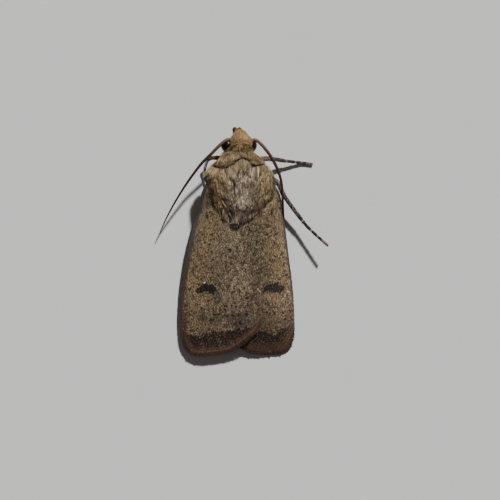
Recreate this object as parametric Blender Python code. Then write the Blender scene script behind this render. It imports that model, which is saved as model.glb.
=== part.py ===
"""A resting owlet moth at life size, as a still museum model.

The moth sits on a level surface at Z = 0, with its head towards -Y and its left side at +X. The origin
is on that surface, under the middle of the outline. Lengths in this file are millimetres and are turned
into metres when an object is made.

The body outline is the outer skin of the coat. It is shaped whole and parted with thin slits into the
collar, the thorax and the two tegulae. The wings are sheets that share one roof-shaped surface: the left
forewing lies on the right one, and the hindwings are folded under both.
"""

import math

import bmesh
import bpy
from mathutils import Matrix, Vector

MM = 0.001
UP = Vector((0.0, 0.0, 1.0))
ALONG_BODY = Vector((0.0, 1.0, 0.0))

# ---------------------------------------------------------------- driving dimensions, in millimetres

SLIT = 0.1  # clear width between neighbouring pieces
WING_THICKNESS = 0.5
LAYER = WING_THICKNESS + SLIT  # one wing and the slit under it
LIMB_RADIUS = 0.27  # a leg, coat included
FEELER_RADIUS = 0.25
TARSUS_HEIGHT = 0.2  # centre line of a foot over the surface; the foot is cut flat at Z = 0

BODY_SIDES = 24
TUBE_SIDES = 8
BODY_STEP = 0.5  # length between two rings of the body
OUTLINE_STEPS = 3  # points between two key points of a wing's outline
ROOF_GRID = 1.1  # mesh of the wings' surface

# Coat outline of collar and thorax: place along the body, middle, half width, top, underside.
BODY = (
    (-8.68, 0.35, 1.70, 4.15, 1.50),
    (-8.00, 0.32, 2.30, 4.70, 1.25),
    (-7.30, 0.42, 2.98, 5.00, 1.15),
    (-6.50, 0.38, 3.44, 5.12, 1.08),
    (-5.60, 0.12, 3.47, 5.18, 1.05),
    (-4.50, 0.07, 3.18, 5.08, 1.05),
    (-3.50, 0.13, 2.80, 4.92, 1.08),
    (-2.70, 0.15, 2.28, 4.75, 1.12),
    (-2.15, 0.22, 1.62, 4.58, 1.20),
    (-1.75, 0.30, 1.00, 4.35, 1.40),
)
COLLAR_SEAM = (-7.95, 5.0, 0.27)  # place and height on the back, and how far it runs back per mm down
TEGULA_SEAM_X = 1.38  # from the thorax's middle, on the back
TEGULA_SEAM_Z = 4.95
TEGULA_TILT = math.radians(54)
THORAX_MIDDLE = 0.12

# Coat outline of the head, front tuft included, in the same columns as BODY.
HEAD = (
    (-10.66, 0.30, 0.42, 3.05, 2.35),
    (-10.38, 0.28, 0.82, 3.45, 1.95),
    (-9.90, 0.28, 1.14, 3.80, 1.62),
    (-9.40, 0.30, 1.36, 4.02, 1.45),
    (-9.00, 0.34, 1.50, 4.10, 1.42),
    (-8.79, 0.36, 1.50, 4.08, 1.48),
)
HEAD_STEP = 0.3
EYE_RADIUS = 0.66
EYE_SPREAD = 1.06  # from the head's middle to the centre of an eye
EYE_PLACE = (0.40, -9.12, 2.78)  # middle of the two eyes
PALP_ROOT = (0.42, -9.7, 1.5)
PALP_BEND = (0.0, -0.36, -0.34)  # how far a palp's middle lies forward of and under a straight line
PALP_SPREAD = 0.32
PALP_TIPS = {"left": (0.84, -10.8, 2.62), "right": (0.32, -10.72, 2.6)}
PALP_RADIUS = 0.22

# Abdomen, in the same columns as BODY, and where it is parted.
ABDOMEN = (
    (-1.62, 0.25, 1.05, 2.75, 1.00),
    (-1.20, 0.25, 1.30, 2.78, 0.72),
    (0.00, 0.25, 1.35, 2.60, 0.52),
    (2.00, 0.25, 1.30, 2.22, 0.42),
    (4.00, 0.25, 1.12, 1.80, 0.40),
    (5.60, 0.25, 0.85, 1.42, 0.45),
    (6.60, 0.25, 0.58, 1.15, 0.52),
    (7.10, 0.25, 0.30, 0.98, 0.62),
)
ABDOMEN_STEP = 0.8
ABDOMEN_SEAMS = (0.9, 3.2, 5.3)

# Roof of the folded wings: place along the body and height, or middle, or half width.
RIDGE = ((-5.5, 4.3), (-2.5, 4.2), (0.0, 3.9), (3.0, 3.3), (6.0, 2.65), (8.5, 1.95), (11.0, 1.1))
EAVES = ((-5.5, 2.6), (-2.0, 1.7), (0.4, 1.25), (5.5, 0.95), (9.0, 0.92), (11.0, 0.6))
ROOF_MIDDLE = ((-5.5, 0.15), (-4.0, 0.15), (0.8, 0.49), (5.5, 0.55), (11.0, 0.5))
ROOF_HALF_WIDTH = ((-5.5, 3.5), (-4.0, 3.75), (0.8, 4.75), (5.5, 5.35), (11.0, 5.42))
ROOF_POWER = 3.0  # flat on the back, turned down along the costas

# Key points of the outlines, from the base along the costa, round the tip and back along the inner margin.
FOREWING_LEFT = (
    (2.9, -5.5), (3.6, -4.9), (4.25, -3.3), (4.75, -1.5), (5.24, 0.8), (5.75, 3.9), (5.93, 6.4),
    (5.91, 8.8), (5.72, 9.95), (5.2, 10.7), (4.2, 10.93), (2.6, 10.83), (1.1, 10.5), (-0.4, 9.5),
    (-1.55, 8.35), (-1.82, 7.2), (-1.05, 4.3), (-0.45, 2.1), (0.05, 0.3), (0.5, -1.5), (0.7, -4.5),
)
FOREWING_RIGHT = (
    (-2.6, -5.3), (-3.5, -4.5), (-3.95, -1.8), (-4.3, 1.0), (-4.7, 4.2), (-4.88, 7.0), (-4.93, 8.8),
    (-4.72, 9.75), (-4.1, 10.5), (-2.6, 10.8), (-1.2, 10.68), (0.0, 10.2), (1.3, 9.3), (2.35, 7.9),
    (2.5, 6.9), (1.75, 4.1), (1.15, 1.9), (0.6, 0.1), (0.3, -1.6), (-0.4, -4.5),
)
HINDWING_LEFT = (
    (2.3, -3.2), (3.3, -3.3), (4.3, -0.8), (4.9, 2.6), (4.9, 5.2), (4.4, 7.1), (3.3, 7.9),
    (2.2, 7.0), (1.9, 4.5), (1.85, 0.0),
)
HINDWING_RIGHT = (
    (-2.0, -3.2), (-3.0, -3.3), (-3.5, -0.8), (-4.0, 2.4), (-3.95, 4.6), (-3.5, 6.3), (-2.5, 7.0),
    (-1.6, 6.1), (-1.4, 4.2), (-1.3, 0.0),
)
LEFT_MARGIN = ((-2.0, 0.6), (0.3, 0.05), (2.1, -0.45), (4.3, -1.05), (7.2, -1.82), (8.35, -1.55),
               (9.5, -0.4), (10.5, 1.1), (11.0, 3.0))
RIGHT_MARGIN = ((-2.0, 0.3), (0.1, 0.6), (1.9, 1.15), (4.1, 1.75), (6.9, 2.5), (7.9, 2.35),
                (9.3, 1.3), (10.2, 0.0))
LAP_SLOPE = 0.9  # width over which a lower wing steps down before it passes under an upper margin
LAP_REACH = 1.2  # how far outside that margin it is already down, one cell of the surface's mesh

# Centre lines of the antennae, from the head to the tip.
ANTENNAE = {
    "left": ((1.15, -9.55, 3.1), (1.7, -9.72, 3.12), (2.9, -8.75, 3.1), (4.1, -7.35, 3.0),
             (5.3, -5.75, 2.8), (6.3, -4.05, 2.35), (7.2, -2.5, 1.6), (7.82, -1.2, 1.1), (7.98, -0.75, 0.95)),
    "right": ((-0.65, -9.5, 3.1), (-1.2, -9.66, 3.12), (-2.0, -9.05, 3.05), (-2.75, -8.05, 2.85),
              (-3.4, -6.9, 2.6), (-3.82, -5.6, 2.4), (-4.02, -4.35, 2.12), (-4.15, -3.2, 1.6),
              (-4.13, -2.0, 0.88), (-4.2, -0.7, 0.5), (-4.38, 0.6, 0.38)),
}
ANTENNA_SEAMS = {"left": (1, 3, 5), "right": (1, 3, 6)}

# Centre lines of the legs from the coxa to the claws. The second line gives the knee and the end of the
# tibia as places in the first.
LEGS = {
    "foreleg_left": (
        ((0.9, -7.2, 1.5), (1.5, -7.75, 1.35), (2.45, -8.05, 1.45), (3.2, -7.75, 1.12), (3.72, -7.1, 0.62),
         (3.72, -6.1, TARSUS_HEIGHT), (3.35, -4.7, TARSUS_HEIGHT)), (2, 3)),
    "foreleg_right": (
        ((-0.5, -7.2, 1.5), (-1.1, -7.7, 1.35), (-1.95, -8.0, 1.45), (-3.0, -7.78, 1.02),
         (-4.6, -7.64, 0.5), (-5.7, -7.54, TARSUS_HEIGHT), (-6.55, -7.45, TARSUS_HEIGHT)), (2, 3)),
    "midleg_left": (
        ((1.2, -5.2, 1.25), (2.1, -5.0, 0.95), (3.0, -4.4, 1.05), (3.95, -2.2, 0.72),
         (4.15, -0.9, TARSUS_HEIGHT), (4.05, 1.2, TARSUS_HEIGHT)), (2, 3)),
    "midleg_right": (
        ((-1.0, -5.9, 1.25), (-2.2, -6.1, 1.0), (-3.3, -5.6, 1.2), (-3.95, -4.3, 1.42),
         (-5.6, -2.05, 1.25), (-6.5, -1.05, 1.42), (-8.0, 0.33, 1.9)), (3, 4)),
    "hindleg_left": (
        ((1.0, -3.6, 1.2), (1.75, -2.9, 0.85), (2.5, -1.7, 0.85), (3.4, 2.4, 0.55),
         (3.5, 3.7, TARSUS_HEIGHT), (3.25, 6.4, TARSUS_HEIGHT)), (2, 3)),
    "hindleg_right": (
        ((-0.7, -3.6, 1.2), (-1.4, -2.9, 0.85), (-2.05, -1.7, 0.85), (-2.75, 2.4, 0.55),
         (-2.85, 3.7, TARSUS_HEIGHT), (-2.6, 6.4, TARSUS_HEIGHT)), (2, 3)),
}

# Finish of each kind of piece: colour, roughness, and metallic value.
FINISHES = {
    "coat_ochre": ((0.22, 0.15, 0.07), 0.85, 0.0),
    "coat_grey": ((0.21, 0.165, 0.115), 0.85, 0.0),
    "coat_olive": ((0.18, 0.13, 0.07), 0.85, 0.0),
    "coat_abdomen": ((0.24, 0.20, 0.15), 0.85, 0.0),
    "forewing": ((0.14, 0.10, 0.06), 0.8, 0.0),
    "hindwing": ((0.32, 0.28, 0.22), 0.75, 0.0),
    "eye": ((0.01, 0.007, 0.005), 0.2, 0.0),
    "antenna": ((0.06, 0.03, 0.018), 0.6, 0.0),
    "leg": ((0.07, 0.05, 0.04), 0.7, 0.0),
    "palp": ((0.09, 0.07, 0.05), 0.8, 0.0),
}


# ---------------------------------------------------------------- curves and surfaces


def smooth(keys, t):
    """Point on a Catmull-Rom curve through keys, where t runs from 0 to len(keys) - 1."""
    last = len(keys) - 1
    index = min(int(t), last - 1)
    part = t - index
    a, b, c, d = (Vector(keys[min(max(index + shift, 0), last)]) for shift in (-1, 0, 1, 2))
    bend = 2 * a - 5 * b + 4 * c - d
    twist = 3 * (b - c) + d - a
    return b + 0.5 * part * (c - a + part * (bend + part * twist))


def lookup(table, place):
    """Value at a place in a table of (place, value), straight between its rows."""
    if place <= table[0][0]:
        return table[0][1]
    for (before, low), (after, high) in zip(table, table[1:]):
        if place <= after:
            return low + (high - low) * (place - before) / (after - before)
    return table[-1][1]


def ease(value):
    """0 below 0 and 1 above 1, with a smooth rise between them."""
    value = min(max(value, 0.0), 1.0)
    return value * value * (3.0 - 2.0 * value)


def roof(x, y):
    """Height of the upper surface of the folded wings."""
    ridge = lookup(RIDGE, y)
    across = abs(x - lookup(ROOF_MIDDLE, y)) / lookup(ROOF_HALF_WIDTH, y)
    return ridge - (ridge - lookup(EAVES, y)) * min(across, 1.1) ** ROOF_POWER


def inside(margin, x, y):
    """Distance of a point from a wing's margin, positive towards +X."""
    lean = lookup(margin, y + 0.5) - lookup(margin, y - 0.5)
    return (x - lookup(margin, y)) / math.hypot(1.0, lean)


def under_left(x, y, reach=LAP_REACH):
    """Step down of the right wings, which pass under the left forewing."""
    return LAYER * ease((inside(LEFT_MARGIN, x, y) + reach) / LAP_SLOPE + 1.0)


def under_right(x, y):
    """Step down of the left hindwing, which passes under the hidden part of the right forewing."""
    return LAYER * ease((LAP_REACH - inside(RIGHT_MARGIN, x, y)) / LAP_SLOPE + 1.0)


# ---------------------------------------------------------------- meshes


def across(center, along, width, height):
    """Matrix that lays a unit circle across a direction, width sideways and height upwards."""
    along = along.normalized()
    side = along.cross(UP).normalized()
    up = side.cross(along)
    turn = Matrix((side, up, -along)).transposed().to_4x4()
    return Matrix.Translation(center) @ turn @ Matrix.Diagonal((width, height, 1.0, 1.0))


def loft(frames, sides):
    """Closed body through circles: one ring, drawn out and laid on each frame in turn."""
    bm = bmesh.new()
    bmesh.ops.create_circle(bm, cap_ends=True, segments=sides, radius=1.0, matrix=frames[0])
    rim = list(bm.edges)
    for before, after in zip(frames, frames[1:]):
        drawn = bmesh.ops.extrude_edge_only(bm, edges=rim)["geom"]
        points = {item for item in drawn if isinstance(item, bmesh.types.BMVert)}
        rim = [item for item in drawn if isinstance(item, bmesh.types.BMEdge) and set(item.verts) <= points]
        bmesh.ops.transform(bm, matrix=after @ before.inverted(), verts=list(points))
    bmesh.ops.edgeloop_fill(bm, edges=rim)
    bmesh.ops.recalc_face_normals(bm, faces=bm.faces)
    return bm


def body_loft(rows, step, grow=0.0):
    """Body through rows of (place, middle, half width, top, underside), grown outwards on all sides."""
    count = max(2, round((rows[-1][0] - rows[0][0]) / step))
    frames = []
    for number in range(count + 1):
        place, middle, half_width, top, underside = sample_row(rows, number / count)
        place += grow * (2.0 * (number == count) - 1.0) if number in (0, count) else 0.0
        center = Vector((middle, place, (top + underside) / 2))
        frames.append(across(center, ALONG_BODY, half_width + grow, (top - underside) / 2 + grow))
    return loft(frames, BODY_SIDES)


def sample_row(rows, share):
    """The row of a coat outline at a share of its length."""
    place = rows[0][0] + share * (rows[-1][0] - rows[0][0])
    for index, (before, after) in enumerate(zip(rows, rows[1:])):
        if place <= after[0]:
            break
    t = index + min((place - before[0]) / (after[0] - before[0]), 1.0)
    values = [smooth([(row[column], 0.0, 0.0) for row in rows], t).x for column in range(1, 5)]
    return (place, *values)


def parted(bm, seams):
    """The part of a closed body on the outer side of each seam, with its cuts closed.

    A seam is a point and a direction: what lies behind the point is cut away, and half a slit more.
    """
    for point, direction in seams:
        normal = Vector(direction).normalized()
        cut = bmesh.ops.bisect_plane(
            bm, geom=bm.verts[:] + bm.edges[:] + bm.faces[:], dist=1e-5,
            plane_co=Vector(point) + normal * SLIT / 2, plane_no=normal, clear_inner=True,
        )["geom_cut"]
        bmesh.ops.holes_fill(bm, edges=[item for item in cut if isinstance(item, bmesh.types.BMEdge)], sides=0)
    bmesh.ops.recalc_face_normals(bm, faces=bm.faces)
    return bm


def tube(points, radii, first, last, ends=(True, True)):
    """Round limb along points[first:last + 1], half a slit short at an end where ends says so."""
    frames = []
    for index in range(first, last + 1):
        before = Vector(points[max(index - 1, 0)])
        here = Vector(points[index])
        after = Vector(points[min(index + 1, len(points) - 1)])
        along = (here - before).normalized() + (after - here).normalized()
        along.normalize()
        if index == first and ends[0]:
            here += along * SLIT / 2
        if index == last and ends[1]:
            here -= along * SLIT / 2
        frames.append(across(here, along, radii[index], radii[index]))
    return loft(frames, TUBE_SIDES)


def rounded(bm, tip):
    """Bevels the end of a limb at its tip, so that it is blunt and not cut off."""
    tip = Vector(tip)
    rim = sorted(bm.faces, key=lambda face: (face.calc_center_median() - tip).length)[0].edges[:]
    radius = sum((edge.calc_length() for edge in rim)) / math.tau
    bmesh.ops.bevel(bm, geom=rim, offset=radius * 0.5, segments=1, profile=0.5, affect="EDGES", material=-1)
    return bm


def flat_foot(bm):
    """Cuts a foot off at the surface, so that it stands on a narrow flat."""
    cut = bmesh.ops.bisect_plane(
        bm, geom=bm.verts[:] + bm.edges[:] + bm.faces[:], dist=1e-5,
        plane_co=Vector((0.0, 0.0, 0.0)), plane_no=UP, clear_inner=True,
    )["geom_cut"]
    bmesh.ops.holes_fill(bm, edges=[item for item in cut if isinstance(item, bmesh.types.BMEdge)], sides=0)
    bmesh.ops.recalc_face_normals(bm, faces=bm.faces)
    return bm


def sheet(outline, drop):
    """Wing over an outline of key points. Its top is the roof less drop(x, y)."""
    bm = bmesh.new()
    keys = [outline[-1], *outline, outline[0], outline[1]]
    for index in range(1, len(outline) + 1):
        for step in range(OUTLINE_STEPS):
            point = smooth([(x, y, 0.0) for x, y in keys], index + step / OUTLINE_STEPS)
            bm.verts.new(point)
    bm.faces.new(bm.verts)
    for normal, low, high in (((1, 0, 0), -5.0, 6.0), ((0, 1, 0), -5.2, 11.0)):
        for number in range(1, int((high - low) / ROOF_GRID) + 1):
            place = Vector(normal) * (low + number * ROOF_GRID)
            bmesh.ops.bisect_plane(
                bm, geom=bm.verts[:] + bm.edges[:] + bm.faces[:], dist=1e-4, plane_co=place, plane_no=normal
            )
    bmesh.ops.remove_doubles(bm, verts=bm.verts, dist=ROOF_GRID / 12)
    lower = bmesh.ops.extrude_face_region(bm, geom=bm.faces[:])["geom"]
    lower = {item for item in lower if isinstance(item, bmesh.types.BMVert)}
    for vert in bm.verts:
        x, y, _ = vert.co
        vert.co.z = roof(x, y) - drop(x, y) - (WING_THICKNESS if vert in lower else 0.0)
    bmesh.ops.triangulate(bm, faces=bm.faces[:], quad_method="BEAUTY", ngon_method="BEAUTY")
    bmesh.ops.recalc_face_normals(bm, faces=bm.faces)
    return bm


# ---------------------------------------------------------------- objects


def finish(name):
    """Material of one kind of piece."""
    material = bpy.data.materials.get(name)
    if material is None:
        material = bpy.data.materials.new(name)
        material.use_nodes = True
        shader = material.node_tree.nodes["Principled BSDF"]
        colour, roughness, metallic = FINISHES[name]
        shader.inputs["Base Color"].default_value = (*colour, 1.0)
        shader.inputs["Roughness"].default_value = roughness
        shader.inputs["Metallic"].default_value = metallic
    return material


def place(name, bm, finish_name=None, parent=None):
    """Object in metres from a mesh in millimetres."""
    bmesh.ops.scale(bm, vec=(MM, MM, MM), verts=bm.verts)
    mesh = bpy.data.meshes.new(name)
    bm.to_mesh(mesh)
    bm.free()
    obj = bpy.data.objects.new(name, mesh)
    bpy.context.scene.collection.objects.link(obj)
    obj.parent = parent
    if finish_name:
        mesh.materials.append(finish(finish_name))
        mesh.shade_smooth()
        mesh.set_sharp_from_angle(angle=math.radians(50))
    return obj


def cutter(name, bm):
    """Hidden body that makes room for a neighbour."""
    obj = place(name, bm)
    obj.hide_render = True
    obj.display_type = "WIRE"
    return obj


def clear_of(obj, *cutters):
    """Takes the cutters' space out of an object."""
    for other in cutters:
        modifier = obj.modifiers.new("clear_of_" + other.name, "BOOLEAN")
        modifier.operation = "DIFFERENCE"
        modifier.solver = "EXACT"
        modifier.object = other


def ball(center, radius):
    """Round body of an eye."""
    bm = bmesh.new()
    bmesh.ops.create_uvsphere(
        bm, u_segments=16, v_segments=10, radius=radius, matrix=Matrix.Translation(center)
    )
    return bm


# ---------------------------------------------------------------- sub-parts


def make_body(root, head_rooms):
    """Collar, thorax and tegulae, parted from one coat outline."""
    seam_y, seam_z, run = COLLAR_SEAM
    collar_seam = (Vector((0.0, seam_y, seam_z)), Vector((0.0, 1.0, run)))
    collar = parted(body_loft(BODY, BODY_STEP), [(collar_seam[0], -collar_seam[1])])
    collar = place("collar", collar, "coat_ochre", root)
    clear_of(collar, head_rooms["left"][1], head_rooms["right"][1])
    seams = {}
    for side, sign in (("left", 1.0), ("right", -1.0)):
        point = Vector((THORAX_MIDDLE + sign * TEGULA_SEAM_X, 0.0, TEGULA_SEAM_Z))
        normal = Vector((sign * math.sin(TEGULA_TILT), 0.0, math.cos(TEGULA_TILT)))
        seams[side] = (point, normal)
        tegula = parted(body_loft(BODY, BODY_STEP), [collar_seam, seams[side]])
        place("tegula_" + side, tegula, "coat_olive", root)
    inward = [(point, -normal) for point, normal in seams.values()]
    place("thorax", parted(body_loft(BODY, BODY_STEP), [collar_seam, *inward]), "coat_grey", root)
    return cutter("room_for_body", body_loft(BODY, BODY_STEP, SLIT))


def make_head(root):
    """Head with its front tuft, eyes and palps."""
    head = place("head", body_loft(HEAD, HEAD_STEP), "coat_ochre", root)
    room = cutter("room_for_head", body_loft(HEAD, HEAD_STEP, SLIT))
    rooms = {}
    for side, sign in (("left", 1.0), ("right", -1.0)):
        center = Vector(EYE_PLACE) + Vector((sign * EYE_SPREAD, 0.0, 0.0))
        place("eye_" + side, ball(center, EYE_RADIUS), "eye", root)
        eye_room = cutter("room_for_eye_" + side, ball(center, EYE_RADIUS + SLIT))
        clear_of(head, eye_room)
        rooms[side] = (room, eye_room)
        spread = Vector((sign * PALP_SPREAD, 0.0, 0.0))
        foot = Vector(PALP_ROOT) + spread
        tip = Vector(PALP_TIPS[side])
        middle = foot.lerp(tip, 0.5) + Vector(PALP_BEND)
        points = [foot, foot.lerp(middle, 0.6), middle, middle.lerp(tip, 0.5), tip]
        radii = [PALP_RADIUS * share for share in (1.1, 1.25, 1.2, 1.0, 0.7)]
        palp = place("palp_" + side, tube(points, radii, 0, 4, (False, False)), "palp", root)
        clear_of(palp, room)
    return rooms


def make_abdomen(root):
    """Abdomen in four lengths."""
    ends = (ABDOMEN[0][0] - 1.0, *ABDOMEN_SEAMS, ABDOMEN[-1][0] + 1.0)
    for number, (front, back) in enumerate(zip(ends, ends[1:]), 1):
        length = body_loft(ABDOMEN, ABDOMEN_STEP)
        seams = [((0.0, front, 0.0), ALONG_BODY), ((0.0, back, 0.0), -ALONG_BODY)]
        place(f"abdomen_{number}", parted(length, seams), "coat_abdomen", root)


def make_wings(root, body_room):
    """The four wings, folded over the back."""
    wings = (
        ("forewing_left", FOREWING_LEFT, lambda x, y: 0.0),
        ("forewing_right", FOREWING_RIGHT, under_left),
        ("hindwing_left", HINDWING_LEFT, lambda x, y: LAYER + under_right(x, y)),
        ("hindwing_right", HINDWING_RIGHT, lambda x, y: LAYER + under_left(x, y, 1.7 * LAP_REACH)),
    )
    for name, outline, drop in wings:
        wing = place(name, sheet(outline, drop), name.split("_")[0], root)
        clear_of(wing, body_room)


def make_antennae(root, head_rooms, body_room):
    """Each antenna in four lengths, the first with its thick base joint."""
    for side, keys in ANTENNAE.items():
        points = [smooth(keys, number / 2) for number in range(2 * len(keys) - 1)]
        radii = [FEELER_RADIUS] * len(points)
        ends = (0, *(2 * seam for seam in ANTENNA_SEAMS[side]), len(points) - 1)
        for number, (first, last) in enumerate(zip(ends, ends[1:]), 1):
            length = tube(points, radii, first, last, (number > 1, last < len(points) - 1))
            if last == len(points) - 1:
                rounded(length, points[-1])
            piece = place(f"antenna_{side}_{number}", length, "antenna", root)
            if number <= 2:
                clear_of(piece, *head_rooms[side])
            elif side == "right":
                clear_of(piece, body_room)


def make_legs(root, body_room):
    """Each leg in three lengths: femur with its coxa, tibia and tarsus."""
    for name, (points, (knee, ankle)) in LEGS.items():
        radii = [LIMB_RADIUS] * len(points)
        ends = (("femur", 0, knee), ("tibia", knee, ankle), ("tarsus", ankle, len(points) - 1))
        for part, first, last in ends:
            length = tube(points, radii, first, last, (part != "femur", part != "tarsus"))
            if part == "tarsus":
                rounded(length, points[-1])
            if part == "tarsus" and points[-1][2] == TARSUS_HEIGHT:
                flat_foot(length)
            piece = place(f"{name}_{part}", length, "leg", root)
            if part != "tarsus":
                clear_of(piece, body_room)


def main():
    """Clears the scene and builds the moth."""
    for obj in list(bpy.data.objects):
        bpy.data.objects.remove(obj)
    root = bpy.data.objects.new("moth", None)
    bpy.context.scene.collection.objects.link(root)
    head_rooms = make_head(root)
    body_room = make_body(root, head_rooms)
    make_abdomen(root)
    make_wings(root, body_room)
    make_antennae(root, head_rooms, body_room)
    make_legs(root, body_room)


main()
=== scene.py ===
"""Looks of a resting owlet moth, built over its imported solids.

The moth sits on a level surface with its head towards -Y and its left side at +X. Lengths in this file are
millimetres in the frame of the solids, and each piece is turned into metres when it is finished. One skin
stands for head, collar, thorax, tegulae and abdomen, and carries a coat of hair-like scales. The wings are
thin membranes under rows of flat scales. Skin, membranes and scales take their colours from the same marks.
"""

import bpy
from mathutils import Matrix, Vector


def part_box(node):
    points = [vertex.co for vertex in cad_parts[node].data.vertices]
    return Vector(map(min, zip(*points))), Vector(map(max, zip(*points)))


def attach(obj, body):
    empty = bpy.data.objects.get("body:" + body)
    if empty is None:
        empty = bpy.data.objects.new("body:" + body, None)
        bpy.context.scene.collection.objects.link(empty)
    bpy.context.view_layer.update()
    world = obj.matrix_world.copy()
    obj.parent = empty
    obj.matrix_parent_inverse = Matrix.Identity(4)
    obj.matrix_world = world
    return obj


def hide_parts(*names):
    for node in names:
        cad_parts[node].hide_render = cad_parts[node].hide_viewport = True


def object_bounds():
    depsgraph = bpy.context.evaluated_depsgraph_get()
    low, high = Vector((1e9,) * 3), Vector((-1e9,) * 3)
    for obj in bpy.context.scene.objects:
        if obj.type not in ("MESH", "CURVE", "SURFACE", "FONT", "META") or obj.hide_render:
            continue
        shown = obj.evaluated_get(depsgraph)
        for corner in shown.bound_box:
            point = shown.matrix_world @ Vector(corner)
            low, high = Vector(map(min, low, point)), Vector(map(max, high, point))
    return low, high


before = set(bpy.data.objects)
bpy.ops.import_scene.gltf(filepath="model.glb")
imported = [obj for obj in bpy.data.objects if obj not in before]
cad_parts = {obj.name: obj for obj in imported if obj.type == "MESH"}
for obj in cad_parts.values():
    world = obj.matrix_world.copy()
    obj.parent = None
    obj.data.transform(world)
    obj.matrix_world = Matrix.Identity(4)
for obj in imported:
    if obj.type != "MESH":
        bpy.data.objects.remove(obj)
CAD_BOX = [list(corner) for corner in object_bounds()]

import logging
import math
from dataclasses import dataclass, field
from enum import Enum
from typing import Callable, Optional, Sequence

import bmesh
import bpy
import numpy as np
from mathutils import Matrix, Vector
from mathutils.bvhtree import BVHTree

Array = np.ndarray
Tint = tuple[float, float, float]
Point = tuple[float, ...]

LOG = logging.getLogger("moth")
BODY = "root"
MM = 0.001
UP = np.array((0.0, 0.0, 1.0))
BACKWARDS = np.array((0.0, 1.0, 0.0))
BAKE_PATCH = 0.003  # size of one tuft on the bake map
BAKE_MARGIN = 0.02
GOLDEN_ANGLE = 2.39996  # radians from one scale round a limb to the next
FAR = 99.0  # longer than the moth, for places where a line has no say
FOOT_HEIGHT = 0.2  # height of a foot on the ground in the legs' lines
COURSE_POINTS = 240  # points on the centre line of a leg
SPUR = (0.62, 0.045, 0.5)  # length, radius and splay of a spur on the tibia
SPINE = (0.16, 0.018, 0.6)  # the same of a spine on the tarsus
CLAW = (0.2, 0.026, 0.45)  # the same of a claw
BACK_PARTS = ("thorax", "tegula_left", "tegula_right")  # parts whose coat ends in the line behind the thorax


class Side(Enum):
    """The two sides of the moth, with the sign of X on each."""

    LEFT = 1.0
    RIGHT = -1.0

    @property
    def label(self) -> str:
        """Ending of the side's node names."""
        return self.name.lower()


# ---------------------------------------------------------------- numbers and curves


def unit(vectors: Array) -> Array:
    """Vectors of length one in the same directions."""
    return vectors / np.maximum(np.linalg.norm(vectors, axis=-1, keepdims=True), 1e-9)


def ease(values: Array) -> Array:
    """0 below 0 and 1 above 1, with a smooth rise between them."""
    held = np.clip(values, 0.0, 1.0)
    return held * held * (3.0 - 2.0 * held)


def blend(low: Array, high: Array, share: Array) -> Array:
    """Mix of two arrays of vectors or colours, one share for each row."""
    return low + (np.asarray(high) - low) * np.asarray(share)[..., None]


def even(tint: Tint, count: int) -> Array:
    """The same colour a number of times."""
    return np.tile(np.array(tint, float), (count, 1))


def scattered(rng: np.random.Generator, count: int, spread: float) -> Array:
    """A column of random factors near 1, which lighten and darken colours."""
    return np.exp(spread * rng.normal(size=count))[:, None]


def flattened(directions: Array, outs: Array) -> Array:
    """Directions of length one, turned into the surface that looks outwards along outs."""
    return unit(directions - outs * (directions * outs).sum(1)[:, None])


def between(places: Array, keys: Array, rows: Array) -> Array:
    """Rows of numbers at places, from the rows that belong to rising keys."""
    return np.stack([np.interp(places, keys, column) for column in rows.T], 1)


def table_at(table: Sequence[Point], places: Array) -> Array:
    """Reads a smooth curve through a table.

    Args:
        table: rows of (place, value), in rising order of place.
        places: where to read it. Places past an end take the end's value.

    Returns:
        One value for each place.
    """
    keys, values = np.array(table, float).T
    slopes = np.gradient(values, keys)
    index = np.clip(np.searchsorted(keys, places) - 1, 0, len(keys) - 2)
    width = keys[index + 1] - keys[index]
    t = np.clip((places - keys[index]) / width, 0.0, 1.0)
    rise = values[index + 1] - values[index]
    start, end = slopes[index] * width, slopes[index + 1] * width
    return values[index] + t * (start + t * (3 * rise - 2 * start - end + t * (start + end - 2 * rise)))


def curve(keys: Sequence[Point | Array], places: Array, closed: bool = False) -> Array:
    """Points on a Catmull-Rom curve through keys.

    Args:
        keys: points that the curve passes through.
        places: numbers from 0 at the first key, rising by 1 from key to key.
        closed: whether the curve runs on from the last key to the first.

    Returns:
        One point for each place.
    """
    held = np.array(keys, float)
    count = len(held)
    index = np.floor(places).astype(int)
    index = index if closed else np.minimum(index, count - 2)
    part = (places - index)[:, None]
    numbers = [index + shift for shift in (-1, 0, 1, 2)]
    a, b, c, d = (held[n % count] if closed else held[np.clip(n, 0, count - 1)] for n in numbers)
    return b + 0.5 * part * (c - a + part * (2 * a - 5 * b + 4 * c - d + part * (3 * (b - c) + d - a)))


def run_of(line: Array) -> Array:
    """Distance along a line of points, from its start to each of them."""
    return np.concatenate(([0.0], np.cumsum(np.linalg.norm(np.diff(line, axis=0), axis=1))))


def evenly(keys: Sequence[Point | Array], count: int) -> Array:
    """Points at even distances on the smooth curve through keys.

    Args:
        keys: points that the curve passes through.
        count: how many points to give.

    Returns:
        The points, in order.
    """
    fine = curve(keys, np.linspace(0, len(keys) - 1, 30 * len(keys)))
    run = run_of(fine)
    return between(np.linspace(0, run[-1], count), run, fine)


def off_line(points: Array, line: Array) -> tuple[Array, Array]:
    """Distance of points from a line.

    Args:
        points: the points, one a row.
        line: points of the line, in order.

    Returns:
        The distance of each point from the line, and how far along the line its nearest place is.
    """
    run = run_of(line)
    best = np.full(len(points), np.inf)
    along = np.zeros(len(points))
    for start, end, before in zip(line, line[1:], run):
        way = end - start
        share = np.clip(((points - start) @ way) / max(way @ way, 1e-12), 0.0, 1.0)
        gap = np.linalg.norm(points - start - share[:, None] * way, axis=1)
        nearer = gap < best
        best[nearer] = gap[nearer]
        along[nearer] = before + share[nearer] * np.linalg.norm(way)
    return best, along


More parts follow.
